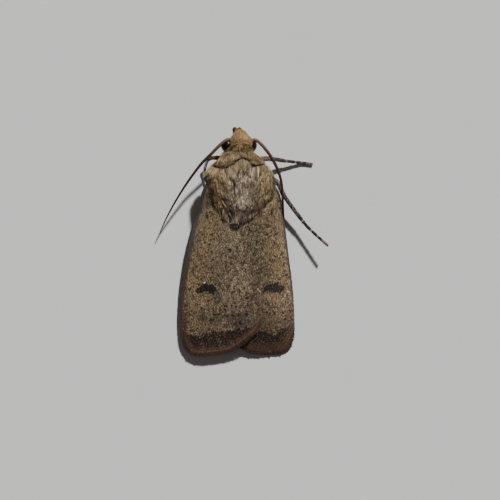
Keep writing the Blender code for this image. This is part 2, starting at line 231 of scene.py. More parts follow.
def within(points: Array, outline: Array) -> Array:
    """Which points of a plane lie inside a closed outline.

    Args:
        points: the points, one a row.
        outline: corners of the outline, in order.

    Returns:
        True or False for each point.
    """
    hit = np.zeros(len(points), bool)
    x, y = points[:, 0], points[:, 1]
    for (x0, y0), (x1, y1) in zip(outline, np.roll(outline, -1, axis=0)):
        if y0 != y1:
            crosses = (y0 > y) != (y1 > y)
            hit ^= crosses & (x < (x1 - x0) * (y - y0) / (y1 - y0) + x0)
    return hit


@dataclass(frozen=True)
class Ripple:
    """Smooth noise made of waves that run in fixed, scattered directions.

    Attributes:
        size: length of the waves.
        seed: number that picks the directions.
        waves: how many waves are added up.
    """

    size: float
    seed: int
    waves: int = 14

    def at(self, points: Array) -> Array:
        """Noise at points, mostly between -1 and 1."""
        rng = np.random.default_rng(self.seed)
        directions = unit(rng.normal(size=(self.waves, points.shape[1])))
        lengths = self.size * rng.uniform(0.7, 1.7, self.waves)
        phases = rng.uniform(0.0, math.tau, self.waves)
        waves = np.sin((points @ directions.T) * math.tau / lengths + phases)
        return waves.sum(1) / math.sqrt(self.waves)


# ---------------------------------------------------------------- finishes


class Nodes:
    """The node tree of one material, with a short way to add and join nodes."""

    def __init__(self, name: str) -> None:
        """Starts a material with its Principled shader."""
        self.material = bpy.data.materials.new(name)
        self.material.use_nodes = True
        self.tree = self.material.node_tree
        self.shader = self.tree.nodes["Principled BSDF"]

    def add(self, kind: str, inputs: dict, **settings: object) -> bpy.types.Node:
        """Adds a node.

        Args:
            kind: the node's type, without the leading ShaderNode.
            inputs: values or sockets for its inputs, by name or number.
            settings: the node's own properties.

        Returns:
            The new node.
        """
        node = self.tree.nodes.new("ShaderNode" + kind)
        for name, value in settings.items():
            setattr(node, name, value)
        for key, value in inputs.items():
            self.put(node.inputs[key], value)
        return node

    def put(self, socket: bpy.types.NodeSocket, value: object) -> None:
        """Sets a socket to a value, or joins it to another socket."""
        if isinstance(value, bpy.types.NodeSocket):
            self.tree.links.new(value, socket)
        else:
            socket.default_value = value

    def level(self, values: dict[str, float]) -> None:
        """Sets inputs of the shader, by name, to values that are the same all over."""
        for name, value in values.items():
            self.shader.inputs[name].default_value = value

    def millimetres(self) -> bpy.types.NodeSocket:
        """Place on the object, in millimetres."""
        place = self.add("TexCoord", {}).outputs["Object"]
        return self.add("VectorMath", {0: place, 1: (1.0 / MM,) * 3}, operation="MULTIPLY").outputs[0]

    def noise(self, size: float) -> bpy.types.NodeSocket:
        """Noise from 0 to 1 with patches about as large as size, in millimetres."""
        inputs = {"Vector": self.millimetres(), "Scale": 1.0 / size, "Detail": 3.0}
        return self.add("TexNoise", inputs).outputs["Fac"]

    def spread(self, value: bpy.types.NodeSocket, low: float, high: float) -> bpy.types.NodeSocket:
        """Turns noise, which keeps near 0.5, into numbers from low to high."""
        inputs = {"Value": value, "From Min": 0.3, "From Max": 0.7, "To Min": low, "To Max": high}
        return self.add("MapRange", inputs).outputs["Result"]

    def bump(self, height: bpy.types.NodeSocket, depth: float) -> None:
        """Gives the shader relief, depth millimetres high."""
        inputs = {"Height": height, "Distance": depth * MM, "Strength": 1.0}
        self.put(self.shader.inputs["Normal"], self.add("Bump", inputs).outputs["Normal"])


@dataclass(frozen=True)
class Finish:
    """Matt or glossy surface in the colours that a piece carries in its tint attribute.

    Attributes:
        name: name of the material.
        roughness: middle of its roughness.
        mottle: how much the colour is lightened and darkened in patches.
        patch: size of those patches, in millimetres.
        grain: size of the fine relief, in millimetres.
        relief: height of the fine relief, in millimetres.
        sheen: strength of the velvety light at the edges.
        gloss: specular level.
        varnish: strength of a clear, smooth top layer.
    """

    name: str
    roughness: float
    mottle: float
    patch: float
    grain: float
    relief: float
    sheen: float = 0.0
    gloss: float = 0.5
    varnish: float = 0.0

    def make(self) -> bpy.types.Material:
        """The material, made once."""
        known = bpy.data.materials.get(self.name)
        if known is not None:
            return known
        nodes = Nodes(self.name)
        tint = nodes.add("Attribute", {}, attribute_name="tint").outputs["Color"]
        light = nodes.spread(nodes.noise(self.patch), 1.0 - self.mottle, 1.0 + self.mottle)
        colour = nodes.add("VectorMath", {0: tint, "Scale": light}, operation="SCALE").outputs[0]
        nodes.put(nodes.shader.inputs["Base Color"], colour)
        rough = nodes.spread(nodes.noise(self.grain * 2.0), self.roughness - 0.08, self.roughness + 0.08)
        nodes.put(nodes.shader.inputs["Roughness"], rough)
        nodes.bump(nodes.noise(self.grain), self.relief)
        nodes.level({"Sheen Weight": self.sheen, "Specular IOR Level": self.gloss})
        nodes.level({"Coat Weight": self.varnish, "Coat Roughness": 0.08})
        return nodes.material


@dataclass(frozen=True)
class EyeFinish:
    """Glossy compound eye: near black, with a brown cast and fine facets.

    Attributes:
        dark: the main colour.
        cast: the brown that shows in patches.
        facet: width of one facet, in millimetres.
    """

    dark: Tint = (0.004, 0.003, 0.002)
    cast: Tint = (0.014, 0.007, 0.004)
    facet: float = 0.04

    def make(self) -> bpy.types.Material:
        """The material, made once."""
        known = bpy.data.materials.get("compound_eye")
        if known is not None:
            return known
        nodes = Nodes("compound_eye")
        share = nodes.spread(nodes.noise(0.5), 0.0, 1.0)
        inputs = {0: share, 6: (*self.dark, 1.0), 7: (*self.cast, 1.0)}
        mix = nodes.add("Mix", inputs, data_type="RGBA")
        nodes.put(nodes.shader.inputs["Base Color"], mix.outputs[2])
        facets = nodes.add(
            "TexVoronoi", {"Vector": nodes.millimetres(), "Scale": 1.0 / self.facet, "Randomness": 0.35}
        ).outputs["Distance"]
        domes = nodes.add("Math", {0: 1.0, 1: facets}, operation="SUBTRACT").outputs[0]
        nodes.bump(domes, 0.006)
        rough = nodes.spread(nodes.noise(0.2), 0.26, 0.4)
        nodes.put(nodes.shader.inputs["Roughness"], rough)
        nodes.level({"Specular IOR Level": 0.3})
        return nodes.material


@dataclass(frozen=True)
class FloorFinish:
    """Pale, matt floor with a faint, even tooth.

    Attributes:
        colour: its colour.
    """

    colour: Tint = (0.78, 0.79, 0.80)

    def make(self) -> bpy.types.Material:
        """The material."""
        nodes = Nodes("pale_floor")
        tone = nodes.spread(nodes.noise(9.0), 0.985, 1.015)
        colour = nodes.add("VectorMath", {0: self.colour, "Scale": tone}, operation="SCALE").outputs[0]
        nodes.put(nodes.shader.inputs["Base Color"], colour)
        nodes.level({"Roughness": 0.9, "Specular IOR Level": 0.2})
        return nodes.material


HAIR = Finish("coat_hair", 0.62, 0.05, 0.9, 0.05, 0.004, sheen=0.12, gloss=0.35)
HIDE = Finish("body_skin", 0.8, 0.12, 0.3, 0.08, 0.02, gloss=0.2)
WING_SCALE = Finish("wing_scale", 0.58, 0.05, 0.8, 0.03, 0.003, sheen=0.08, gloss=0.35)
MEMBRANE = Finish("wing_membrane", 0.6, 0.16, 0.12, 0.06, 0.01, gloss=0.3)
CHITIN = Finish("chitin", 0.42, 0.18, 0.12, 0.03, 0.006, gloss=0.5, varnish=0.1)
FEELER = Finish("feeler", 0.55, 0.14, 0.1, 0.03, 0.008, gloss=0.4)


# ---------------------------------------------------------------- meshes


def basis(center: Point | Array, along: Point | Array, radius: float, hint: Array = UP) -> Matrix:
    """Matrix that lays a unit circle across a direction.

    Args:
        center: where the circle's middle goes.
        along: the direction.
        radius: radius of the ring.
        hint: what counts as upwards.

    Returns:
        The matrix.
    """
    way = Vector(along).normalized()
    side = way.cross(Vector(hint)).normalized()
    rise = side.cross(way)
    turn = Matrix((side, rise, -way)).transposed().to_4x4()
    return Matrix.Translation(Vector(center)) @ turn @ Matrix.Diagonal((radius, radius, 1.0, 1.0))


def verts_in(geometry: Sequence[object]) -> set[bmesh.types.BMVert]:
    """The vertices among what an operator gives back."""
    return {item for item in geometry if isinstance(item, bmesh.types.BMVert)}


def mesh_of(bm: bmesh.types.BMesh, name: str) -> bpy.types.Mesh:
    """Mesh of a bmesh, which is freed."""
    mesh = bpy.data.meshes.new(name)
    bm.to_mesh(mesh)
    bm.free()
    return mesh


def link(name: str, data: bpy.types.ID) -> bpy.types.Object:
    """Adds an object to the scene."""
    added = bpy.data.objects.new(name, data)
    bpy.context.scene.collection.objects.link(added)
    return added


def soften(bm: bmesh.types.BMesh, turns: int) -> None:
    """Smooths a bmesh a number of times."""
    for _ in range(turns):
        bmesh.ops.smooth_vert(
            bm, verts=bm.verts, factor=0.5, use_axis_x=True, use_axis_y=True, use_axis_z=True
        )


def loft(frames: Sequence[Matrix], sides: int) -> bmesh.types.BMesh:
    """Closed body through circles: one ring, drawn out and laid on each frame in turn.

    Args:
        frames: where the rings lie, as matrices that each turn a unit circle into one of them.
        sides: number of sides.

    Returns:
        The body, closed at both ends.
    """
    bm = bmesh.new()
    bmesh.ops.create_circle(bm, cap_ends=True, segments=sides, radius=1.0, matrix=frames[0])
    rim = list(bm.edges)
    for before, after in zip(frames, frames[1:]):
        drawn = bmesh.ops.extrude_edge_only(bm, edges=rim)["geom"]
        points = verts_in(drawn)
        rim = [item for item in drawn if isinstance(item, bmesh.types.BMEdge) and set(item.verts) <= points]
        bmesh.ops.transform(bm, matrix=after @ before.inverted(), verts=list(points))
    bmesh.ops.edgeloop_fill(bm, edges=rim)
    bmesh.ops.recalc_face_normals(bm, faces=bm.faces)
    return bm


def limb(line: Array, radii: Array, sides: int, hint: Array = UP) -> bmesh.types.BMesh:
    """Round limb along a line.

    Args:
        line: points of its centre line.
        radii: its radius at each of them.
        sides: number of sides.
        hint: what counts as upwards.

    Returns:
        The limb, closed at both ends.
    """
    ways = np.gradient(line, axis=0)
    return loft([basis(*ring, hint) for ring in zip(line, ways, radii)], sides)


def join_into(bm: bmesh.types.BMesh, other: bmesh.types.BMesh) -> None:
    """Adds another bmesh to bm, and frees it."""
    held = mesh_of(other, "held")
    bm.from_mesh(held)
    bpy.data.meshes.remove(held)


def points_of(mesh: bpy.types.Mesh) -> Array:
    """Places of a mesh's vertices."""
    held = np.empty(len(mesh.vertices) * 3)
    mesh.vertices.foreach_get("co", held)
    return held.reshape(-1, 3)


def paint(mesh: bpy.types.Mesh, tints: Array) -> None:
    """Stores a colour for each vertex, as the tint that the finishes read."""
    layer = mesh.attributes.new("tint", "FLOAT_COLOR", "POINT")
    rgba = np.ones((len(mesh.vertices), 4), np.float32)
    rgba[:, :3] = np.clip(tints, 0.0, 1.0)
    layer.data.foreach_set("color", rgba.ravel())


def install(
    name: str, mesh: bpy.types.Mesh, finish: Finish | EyeFinish, nodes: Sequence[str] = (),
    smooth: bool = True,
) -> None:
    """Makes a finished mesh, still in millimetres, a piece of the moth.

    Args:
        name: the piece's name.
        mesh: its mesh.
        finish: its finish.
        nodes: the solids that it stands for.
        smooth: whether its faces are shaded as one smooth surface.
    """
    mesh.name = name
    mesh.transform(Matrix.Scale(MM, 4))
    mesh.materials.append(finish.make())
    if smooth:
        mesh.shade_smooth()
    else:
        mesh.shade_flat()
    piece = link(name, mesh)
    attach(piece, BODY)
    if nodes:
        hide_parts(*nodes)
    LOG.info("%s: %d faces", name, len(mesh.polygons))


def install_bmesh(
    name: str, bm: bmesh.types.BMesh, finish: Finish | EyeFinish, nodes: Sequence[str] = (),
    painter: Optional[Callable[[Array], Array]] = None,
) -> None:
    """Makes a bmesh, in millimetres, a piece of the moth.

    Args:
        name: the piece's name.
        bm: its shape, which is freed.
        finish: its finish.
        nodes: the solids that it stands for.
        painter: gives the colour at each place.
    """
    mesh = mesh_of(bm, name)
    if painter is not None:
        paint(mesh, painter(points_of(mesh)))
    install(name, mesh, finish, nodes)


def surface_of(node: str) -> BVHTree:
    """Search tree of a solid's surface, in millimetres."""
    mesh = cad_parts[node].data
    corners = [vertex.co / MM for vertex in mesh.vertices]
    return BVHTree.FromPolygons(corners, [tuple(face.vertices) for face in mesh.polygons])


# ---------------------------------------------------------------- coats of many small shapes


@dataclass(frozen=True)
class Template:
    """One small closed shape, which a coat repeats.

    Attributes:
        points: its corners, as shares along, across and through.
        faces: its triangles.
    """

    points: Array
    faces: Array

    @staticmethod
    def read(bm: bmesh.types.BMesh) -> "Template":
        """Template from a bmesh, which is freed."""
        bmesh.ops.triangulate(bm, faces=bm.faces[:])
        bmesh.ops.recalc_face_normals(bm, faces=bm.faces)
        bm.verts.index_update()
        points = np.array([vert.co[:] for vert in bm.verts])
        faces = np.array([[vert.index for vert in face.verts] for face in bm.faces])
        bm.free()
        return Template(points, faces)

    @staticmethod
    def lock(shares: Sequence[Point]) -> "Template":
        """Spindle-shaped lock of hair.

        Args:
            shares: rows of (place along, half width) for its rings.

        Returns:
            The template: a three-sided lock that ends in a point at root and tip.
        """
        rows = [(0.0, 0.02), *shares, (1.0, 0.02)]
        frames = [basis((place, 0, 0), (1, 0, 0), width) for place, width in rows]
        bm = loft(frames, 3)
        for end in (0.0, 1.0):
            verts = [vert for vert in bm.verts if abs(vert.co.x - end) < 1e-4]
            bmesh.ops.pointmerge(bm, verts=verts, merge_co=(end, 0.0, 0.0))
        return Template.read(bm)

    @staticmethod
    def tile() -> "Template":
        """Flat scale with a narrow root and a blunt tip."""
        bm = bmesh.new()
        bmesh.ops.create_circle(bm, cap_ends=True, cap_tris=True, segments=5, radius=1.0)
        middle = min(bm.verts, key=lambda vert: vert.co.length)
        middle.co.z = 1.0
        bmesh.ops.rotate(bm, verts=bm.verts, matrix=Matrix.Rotation(math.radians(90), 3, "Z"))
        low = min(vert.co.x for vert in bm.verts)
        high = max(vert.co.x for vert in bm.verts)
        for vert in bm.verts:
            vert.co.x = (vert.co.x - low) / (high - low)
            vert.co.y *= 1.0 + 0.35 * vert.co.x
        mirrored = bmesh.ops.duplicate(bm, geom=bm.verts[:] + bm.edges[:] + bm.faces[:])["geom"]
        bmesh.ops.scale(bm, verts=list(verts_in(mirrored)), vec=(1.0, 1.0, -1.0))
        bmesh.ops.remove_doubles(bm, verts=bm.verts, dist=1e-4)
        return Template.read(bm)


@dataclass
class Coat:
    """Many copies of a template, each on its own root.

    Attributes:
        roots: where they stand.
        along: direction in which each lies.
        out: direction away from the surface.
        spots: place of each root on the unwrapped surface, as two shares.
        tints: colour of each.
        length: length of each.
        width: half width of each.
        depth: half thickness of each.
        lift: how steeply each leaves the surface.
        bend: how far its tip is bent away from a straight line, as a vector.
    """

    roots: Array
    along: Array
    out: Array
    spots: Array
    tints: Array
    length: Array
    width: Array
    depth: Array
    lift: Array
    bend: Array

    def only(self, chosen: Array) -> "Coat":
        """The coat with the chosen copies alone."""
        return Coat(**{name: values[chosen] for name, values in vars(self).items()})

    def mesh(self, template: Template) -> bpy.types.Mesh:
        """Joins the copies into one mesh.

        Args:
            template: the shape of each copy.

        Returns:
            The mesh, in millimetres, with its tint and its bake map.
        """
        t, across, through = template.points.T
        side = np.cross(self.out, self.along)
        run = self.length[:, None] * t
        rise = run * self.lift[:, None] + self.depth[:, None] * through
        drift = self.width[:, None] * across
        places = self.roots[:, None] + self.along[:, None] * run[..., None]
        places = places + self.out[:, None] * rise[..., None] + side[:, None] * drift[..., None]
        places = places + self.bend[:, None] * (t**2)[:, None]
        count, each = places.shape[:2]
        faces = (template.faces[None] + np.arange(count)[:, None, None] * each).reshape(-1, 3)
        mesh = bpy.data.meshes.new("coat")
        mesh.vertices.add(count * each)
        mesh.vertices.foreach_set("co", places.astype(np.float32).ravel())
        mesh.loops.add(faces.size)
        mesh.loops.foreach_set("vertex_index", faces.astype(np.int32).ravel())
        mesh.polygons.add(len(faces))
        mesh.polygons.foreach_set("loop_start", np.arange(0, faces.size, 3, dtype=np.int32))
        mesh.update(calc_edges=True)
        paint(mesh, np.repeat(self.tints, each, axis=0))
        patch = np.stack((t - 0.5, 0.35 * across + 0.15 * through), 1) * BAKE_PATCH
        low, high = self.spots.min(0), self.spots.max(0)
        spots = BAKE_MARGIN + (1.0 - 2.0 * BAKE_MARGIN) * (self.spots - low) / (high - low)
        uv = (spots[:, None] + patch[None]).reshape(-1, 2)[faces.ravel()]
        layer = mesh.uv_layers.new(name="OFBake")
        layer.data.foreach_set("uv", uv.astype(np.float32).ravel())
        return mesh


SHORT_LOCK = Template.lock(((0.3, 0.9), (0.72, 0.8)))
LONG_LOCK = Template.lock(((0.2, 0.75), (0.5, 1.0), (0.82, 0.7)))
TILE = Template.tile()


# ---------------------------------------------------------------- markings


@dataclass(frozen=True)
class Blot:
    """Soft-edged oval mark.

    Attributes:
        place: its middle.
        half: half its width and half its length.
        tint: its colour.
        strength: how fully it covers the ground.
        turn: how far it is turned, in degrees.
        edge: width of its soft edge, as a share of its size.
    """

    place: Point
    half: Point
    tint: Tint
    strength: float = 1.0
    turn: float = 0.0
    edge: float = 0.35

    def cover(self, points: Array, wander: Array) -> Array:
        """How strongly the mark covers points, with an edge that wanders by a share of its size."""
        gap = points - np.array(self.place)
        angle = math.radians(self.turn)
        right = gap[:, 0] * math.cos(angle) + gap[:, 1] * math.sin(angle)
        ahead = gap[:, 1] * math.cos(angle) - gap[:, 0] * math.sin(angle)
        radius = np.hypot(right / self.half[0], ahead / self.half[1]) + 0.22 * wander
        return self.strength * ease((1.0 + self.edge / 2 - radius) / self.edge)


@dataclass(frozen=True)
class Streak:
    """Soft-edged mark along a line.

    Attributes:
        line: points of the line.
        half: half its width.
        tint: its colour.
        strength: how fully it covers the ground.
    """

    line: tuple[Point, ...]
    half: float
    tint: Tint
    strength: float = 1.0

    def cover(self, points: Array, wander: Array) -> Array:
        """How strongly the mark covers points, with an edge that wanders by a share of its width."""
        gap, _ = off_line(points, curve(self.line, np.linspace(0, len(self.line) - 1, 6 * len(self.line))))
        return self.strength * ease(1.5 - gap / self.half - 0.35 * wander)


def grainy(cover: Array, grain: Optional[Array]) -> Array:
    """Cover of a mark, broken up into grains where it is neither full nor nothing."""
    if grain is None:
        return cover
    return 0.2 * cover + 0.8 * ease((cover - 0.5 - 0.42 * grain) / 0.3 + 0.5) * ease(cover / 0.08)


def marked(
    ground: Array, points: Array, marks: Sequence[Blot | Streak], wander: Array, grain: Optional[Array] = None
) -> Array:
    """Colours of points with marks laid over their ground colour.

    Args:
        ground: colours under the marks.
        points: where the colours are seen.
        marks: the marks, lowest first.
        wander: how far the marks' edges wander at each point, from -1 to 1.
        grain: pattern from -1 to 1 that breaks the marks up into grains, or None.

    Returns:
        One colour for each point.
    """
    tints = ground
    for mark in marks:
        tints = blend(tints, mark.tint, grainy(mark.cover(points, wander), grain))
    return tints


# ---------------------------------------------------------------- colours

HEAD_TINT = (0.39, 0.258, 0.10)
COLLAR_TINT = (0.235, 0.163, 0.068)
OLIVE = (0.305, 0.228, 0.118)
# Olive of the left tegula, paler than the right one's as painted light that lifts the shade on the moth's
# left side, away from the key light.
LEFT_OLIVE_PAINTED_LIGHT = (0.46, 0.325, 0.175)
GREYISH = (0.46, 0.36, 0.25)
PALE_TUFT = (0.80, 0.64, 0.43)
BROWN = (0.115, 0.072, 0.042)
DARK_BROWN = (0.045, 0.027, 0.017)
BLACKISH = (0.014, 0.009, 0.008)
# Orange-brown of the neck, made darker as painted shade for the groove between head and collar.
GROOVE_SHADE_RUST = (0.125, 0.062, 0.022)
ABDOMEN_TINT = (0.30, 0.235, 0.155)
BREAST_TINT = (0.30, 0.225, 0.135)

GROUND = (0.225, 0.163, 0.092)
GROUND_GREY = (0.158, 0.123, 0.080)
GROUND_GOLD = (0.270, 0.188, 0.092)
SPECK = (0.035, 0.022, 0.016)
PALE_SCALE = (0.55, 0.42, 0.27)
KIDNEY = (0.018, 0.011, 0.011)
SOOT = (0.065, 0.052, 0.045)
BORDER = (0.024, 0.014, 0.011)
RED_BROWN = (0.070, 0.033, 0.023)
STRAW = (0.21, 0.135, 0.075)
UNDERSIDE = (0.28, 0.225, 0.16)
HINDWING_TINT = (0.42, 0.35, 0.27)


# ---------------------------------------------------------------- body


@dataclass(frozen=True)
class Fur:
    """How the coat grows on one part of the body.

    Attributes:
        spacing: distance between roots.
        length: length of the locks.
        width: half width of the locks.
        lift: how steeply they leave the skin.
        gap: how far above the skin their tips lie.
        comb: direction in which they lie: sideways for each unit off the middle, backwards, and upwards.
        tint: their ground colour.
        slot: name of a material slot, which is not used.
        long: whether the locks are the finer, longer kind.
    """

    spacing: float
    length: float
    width: float
    lift: float
    gap: float
    comb: tuple[float, float, float]
    tint: Tint
    slot: str
    long: bool = True


@dataclass
class Body:
    """Head, collar, thorax, tegulae and abdomen under one skin, and their coat.

    Attributes:
        voxel: cell of the mesh that joins the solids.
        join: how far the solids grow so that they meet.
        coat_depth: how far the skin lies inside the solids.
        face_depth: the same on the head.
        swell: place behind the head's tip, and how much wider the head is there, as a share.
        lean: how far the back of the head lies to the right.
        tuck: how much narrower the breast is than the shoulders, as a share.
        crest: height at which the shoulders begin to slope.
        fall: how steeply they slope.
        brow: place along the body, and how far off the middle the slope begins.
        rear: place along the body and greatest height of the thorax there.
        aside: how far to the right of the middle of its solid the face lies.
        tries: how many places on the skin are tried as roots.
        cell: size of the cells that hold at most one of them.
        rear_line: place off the middle, and how far back the coat of the thorax reaches there.
        collar_line: the same for the collar.
        furs: how the coat grows on each part.
        flesh: the solids that the skin stands for.
    """

    voxel: float = 0.12
    join: float = 0.1
    coat_depth: float = 0.24
    face_depth: float = 0.15
    swell: tuple[Point, ...] = (
        (0.0, -0.12), (0.3, -0.02), (0.7, 0.18), (1.0, 0.30), (1.25, 0.20), (1.5, 0.05), (1.9, 0.0))
    lean: float = -0.15
    tuck: float = 0.36
    crest: float = 4.75
    fall: float = 1.5
    brow: tuple[Point, ...] = ((-8.6, 0.9), (-7.4, 1.2), (-6.4, 2.0), (-4.5, 2.3), (-3.5, 4.0))
    rear: tuple[Point, ...] = ((-5.6, 5.2), (-4.6, 4.85), (-3.4, 4.55), (-2.4, 4.30), (-1.6, 4.05))
    aside: float = 0.08
    tries: int = 520000
    cell: float = 0.048
    rear_line: tuple[Point, ...] = (
        (-2.9, 6.4), (-2.4, 7.0), (-1.4, 8.1), (-0.5, 8.7), (0.0, 9.0), (1.0, 8.95), (2.0, 8.85),
        (2.5, 8.55), (3.0, 7.6), (3.4, 6.6))
    collar_line: tuple[Point, ...] = (
        (-2.6, 3.02), (-2.4, 3.06), (-1.77, 3.34), (-1.06, 3.56), (-0.78, 3.06), (-0.06, 2.74),
        (0.75, 3.34), (1.37, 3.67), (1.88, 3.72), (2.45, 3.5), (2.9, 3.15))
    furs: dict[str, Fur] = field(init=False)
    flesh: tuple[str, ...] = (
        "head", "collar", "thorax", "tegula_left", "tegula_right",
        "abdomen_1", "abdomen_2", "abdomen_3", "abdomen_4",
    )

    def __post_init__(self) -> None:
        """Reads the places that the marks are measured from, and sets the coat of each part."""
        low, high = (np.array(corner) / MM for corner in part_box("thorax"))
        self.middle = (low[0] + high[0]) / 2
        self.face = sum(corner[0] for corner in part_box("head")) / MM / 2 - self.aside
        self.front = np.array(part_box("head")[0])[1] / MM
        self.neck = np.array(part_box("head")[1])[1] / MM
        self.waist = high[1]
        self.trees = {node: surface_of(node) for node in self.flesh}
        self.furs = {
            "head": Fur(0.050, 0.42, 0.024, 0.45, 0.17, (0.75, -0.8, 0.25), HEAD_TINT, "coat_front", False),
            "collar": Fur(0.052, 0.85, 0.028, 0.42, 0.17, (0.30, 1.0, 0.0), COLLAR_TINT, "coat_front"),
            "thorax": Fur(0.0535, 1.05, 0.027, 0.36, 0.19, (-0.06, 1.0, 0.0), GREYISH, "coat_thorax"),
            # The left tegula's paler olive is painted light against the shade on that side.
            "tegula_left": Fur(0.052, 1.30, 0.027, 0.34, 0.21, (-0.18, 1.0, 0.0), LEFT_OLIVE_PAINTED_LIGHT, "coat_thorax"),
            "tegula_right": Fur(0.052, 1.30, 0.027, 0.34, 0.21, (-0.18, 1.0, 0.0), OLIVE, "coat_thorax"),
            "abdomen": Fur(
                0.10, 0.75, 0.045, 0.30, 0.15, (0.0, 1.0, 0.0), ABDOMEN_TINT, "coat_abdomen", False),
            "breast": Fur(0.095, 0.75, 0.042, 0.34, 0.20, (0.1, 1.0, 0.0), BREAST_TINT, "coat_thorax", False),
        }

    def at(self, side: float, back: float) -> Point:
        """Place seen from above, from its distance off the middle and behind the head's tip."""
        return (self.middle + side, self.front + back)

    def way(self, *places: Point) -> tuple[Point, ...]:
        """Line through places that are given as for at()."""
        return tuple(self.at(*place) for place in places)

    def behind_collar(self, points: Array) -> Array:
        """How far places lie behind the collar's rear line, or a large number beyond its ends."""
        sides, backs = np.array(self.collar_line).T
        side = points[:, 0] - self.middle
        gap = points[:, 1] - self.front - np.interp(side, sides, backs)
        return np.where((side > sides[0]) & (side < sides[-1]), gap, FAR)

    def marks(self) -> list[Blot | Streak]:
        """The markings of the body, seen from above, with painted shade in the groove behind the head."""
        seam = self.way(*((side, back + 0.04) for side, back in self.collar_line[1:]))
        groove_line = self.way((1.0, 1.92), (0.5, 1.70), (-0.15, 1.56), (-0.75, 1.72), (-1.2, 1.94))
        return [
            Blot(self.at(0.0, 0.95), (1.3, 0.85), (0.36, 0.225, 0.098), 0.55),
            # The neck's orange-brown along the groove behind the head, darkened as painted shade of that
            # groove.
            Streak(groove_line, 0.15, GROOVE_SHADE_RUST, 0.9),
            Blot(self.at(-0.2, 2.15), (0.9, 0.35), (0.17, 0.092, 0.034), 0.5, edge=0.8),
            Blot(self.at(-0.4, 5.4), (1.0, 1.25), (0.54, 0.405, 0.285), 0.75, edge=0.6),
            Blot(self.at(0.0, 3.5), (1.7, 0.95), (0.32, 0.23, 0.13), 0.9, edge=0.6),
            Blot(self.at(-2.1, 4.1), (1.2, 1.2), (0.36, 0.26, 0.14), 0.85, edge=0.6),
            Blot(self.at(2.3, 4.1), (1.3, 1.1), (0.34, 0.24, 0.125), 0.85, edge=0.6),
            Blot(self.at(1.7, 4.7), (0.7, 0.8), (0.25, 0.175, 0.10), 0.6, edge=0.7),
            Blot(self.at(-2.0, 7.7), (0.9, 1.1), (0.28, 0.205, 0.12), 0.8, edge=0.6),
            Blot(self.at(-0.9, 8.1), (0.7, 0.5), (0.22, 0.16, 0.10), 0.7, edge=0.6),
            Blot(self.at(1.6, 7.5), (1.0, 1.4), BROWN, 0.5, edge=0.8),
            Blot(self.at(1.3, 8.3), (1.0, 0.7), BROWN, 0.7, edge=0.7),
            Blot(self.at(0.75, 8.45), (0.6, 0.5), DARK_BROWN, 0.75, edge=0.7),
            Blot(self.at(-0.35, 8.6), (1.0, 0.5), (0.15, 0.105, 0.07), 0.75, edge=0.7),
            Blot(self.at(-0.12, 6.95), (0.65, 0.90), PALE_TUFT, 1.0, edge=0.3),
            Blot(self.at(3.2, 5.15), (0.6, 0.25), DARK_BROWN, 0.7, edge=0.8),
            Blot(self.at(3.2, 5.6), (0.12, 0.12), PALE_SCALE, 0.8),
            Blot(self.at(2.95, 5.95), (0.12, 0.12), PALE_SCALE, 0.8),
            Blot(self.at(-3.2, 5.4), (0.35, 0.6), DARK_BROWN, 0.75, edge=0.8),
            Streak(seam, 0.08, DARK_BROWN, 0.6),
            Blot(self.at(-1.07, 3.68), (0.36, 0.32), BLACKISH, 0.95),
            Blot(self.at(0.85, 4.0), (0.22, 0.3), BROWN, 0.5),
            Blot(self.at(-1.0, 5.35), (0.25, 0.28), BROWN, 0.5),
            Streak(self.way((0.0, 8.78), (-0.4, 8.5), (-0.9, 8.12)), 0.12, BLACKISH, 0.9),
            Streak(self.way((0.42, 7.4), (-0.1, 7.85), (-0.68, 7.4)), 0.08, DARK_BROWN, 0.8),
            Streak(self.way((0.78, 4.9), (0.62, 5.6), (0.6, 6.4)), 0.08, DARK_BROWN, 0.7),
        ]

    def tints(self, points: Array, ground: Array) -> Array:
        """Colours of the body at places on it, over a ground colour."""
        above = ease((points[:, 2] - 2.0) / 0.8)
        wander = Ripple(0.35, 5).at(points)
        drawn = marked(ground, points[:, :2], self.marks(), wander, 0.6 * Ripple(0.22, 6).at(points))
        return blend(ground, drawn, above)

    def joined(self) -> bmesh.types.BMesh:
        """One closed shape around all the solids of flesh."""
        bm = bmesh.new()
        for node in self.flesh:
            solid = bmesh.new()
            solid.from_mesh(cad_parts[node].data)
            bmesh.ops.scale(solid, verts=solid.verts, vec=(1.0 / MM,) * 3)
            bmesh.ops.remove_doubles(solid, verts=solid.verts, dist=1e-4)
            bmesh.ops.recalc_face_normals(solid, faces=solid.faces)
            solid.normal_update()
            for vert in solid.verts:
                vert.co += vert.normal * self.join
            join_into(bm, solid)
        mesh = mesh_of(bm, "joined")
        holder = link("joined", mesh)
        remesh = holder.modifiers.new("one_skin", "REMESH")
        remesh.mode = "VOXEL"
        remesh.voxel_size = self.voxel
        seen = holder.evaluated_get(bpy.context.evaluated_depsgraph_get())
        bm = bmesh.new()
        bm.from_mesh(seen.to_mesh())
        seen.to_mesh_clear()
        bpy.data.objects.remove(holder)
        bpy.data.meshes.remove(mesh)
        return bm

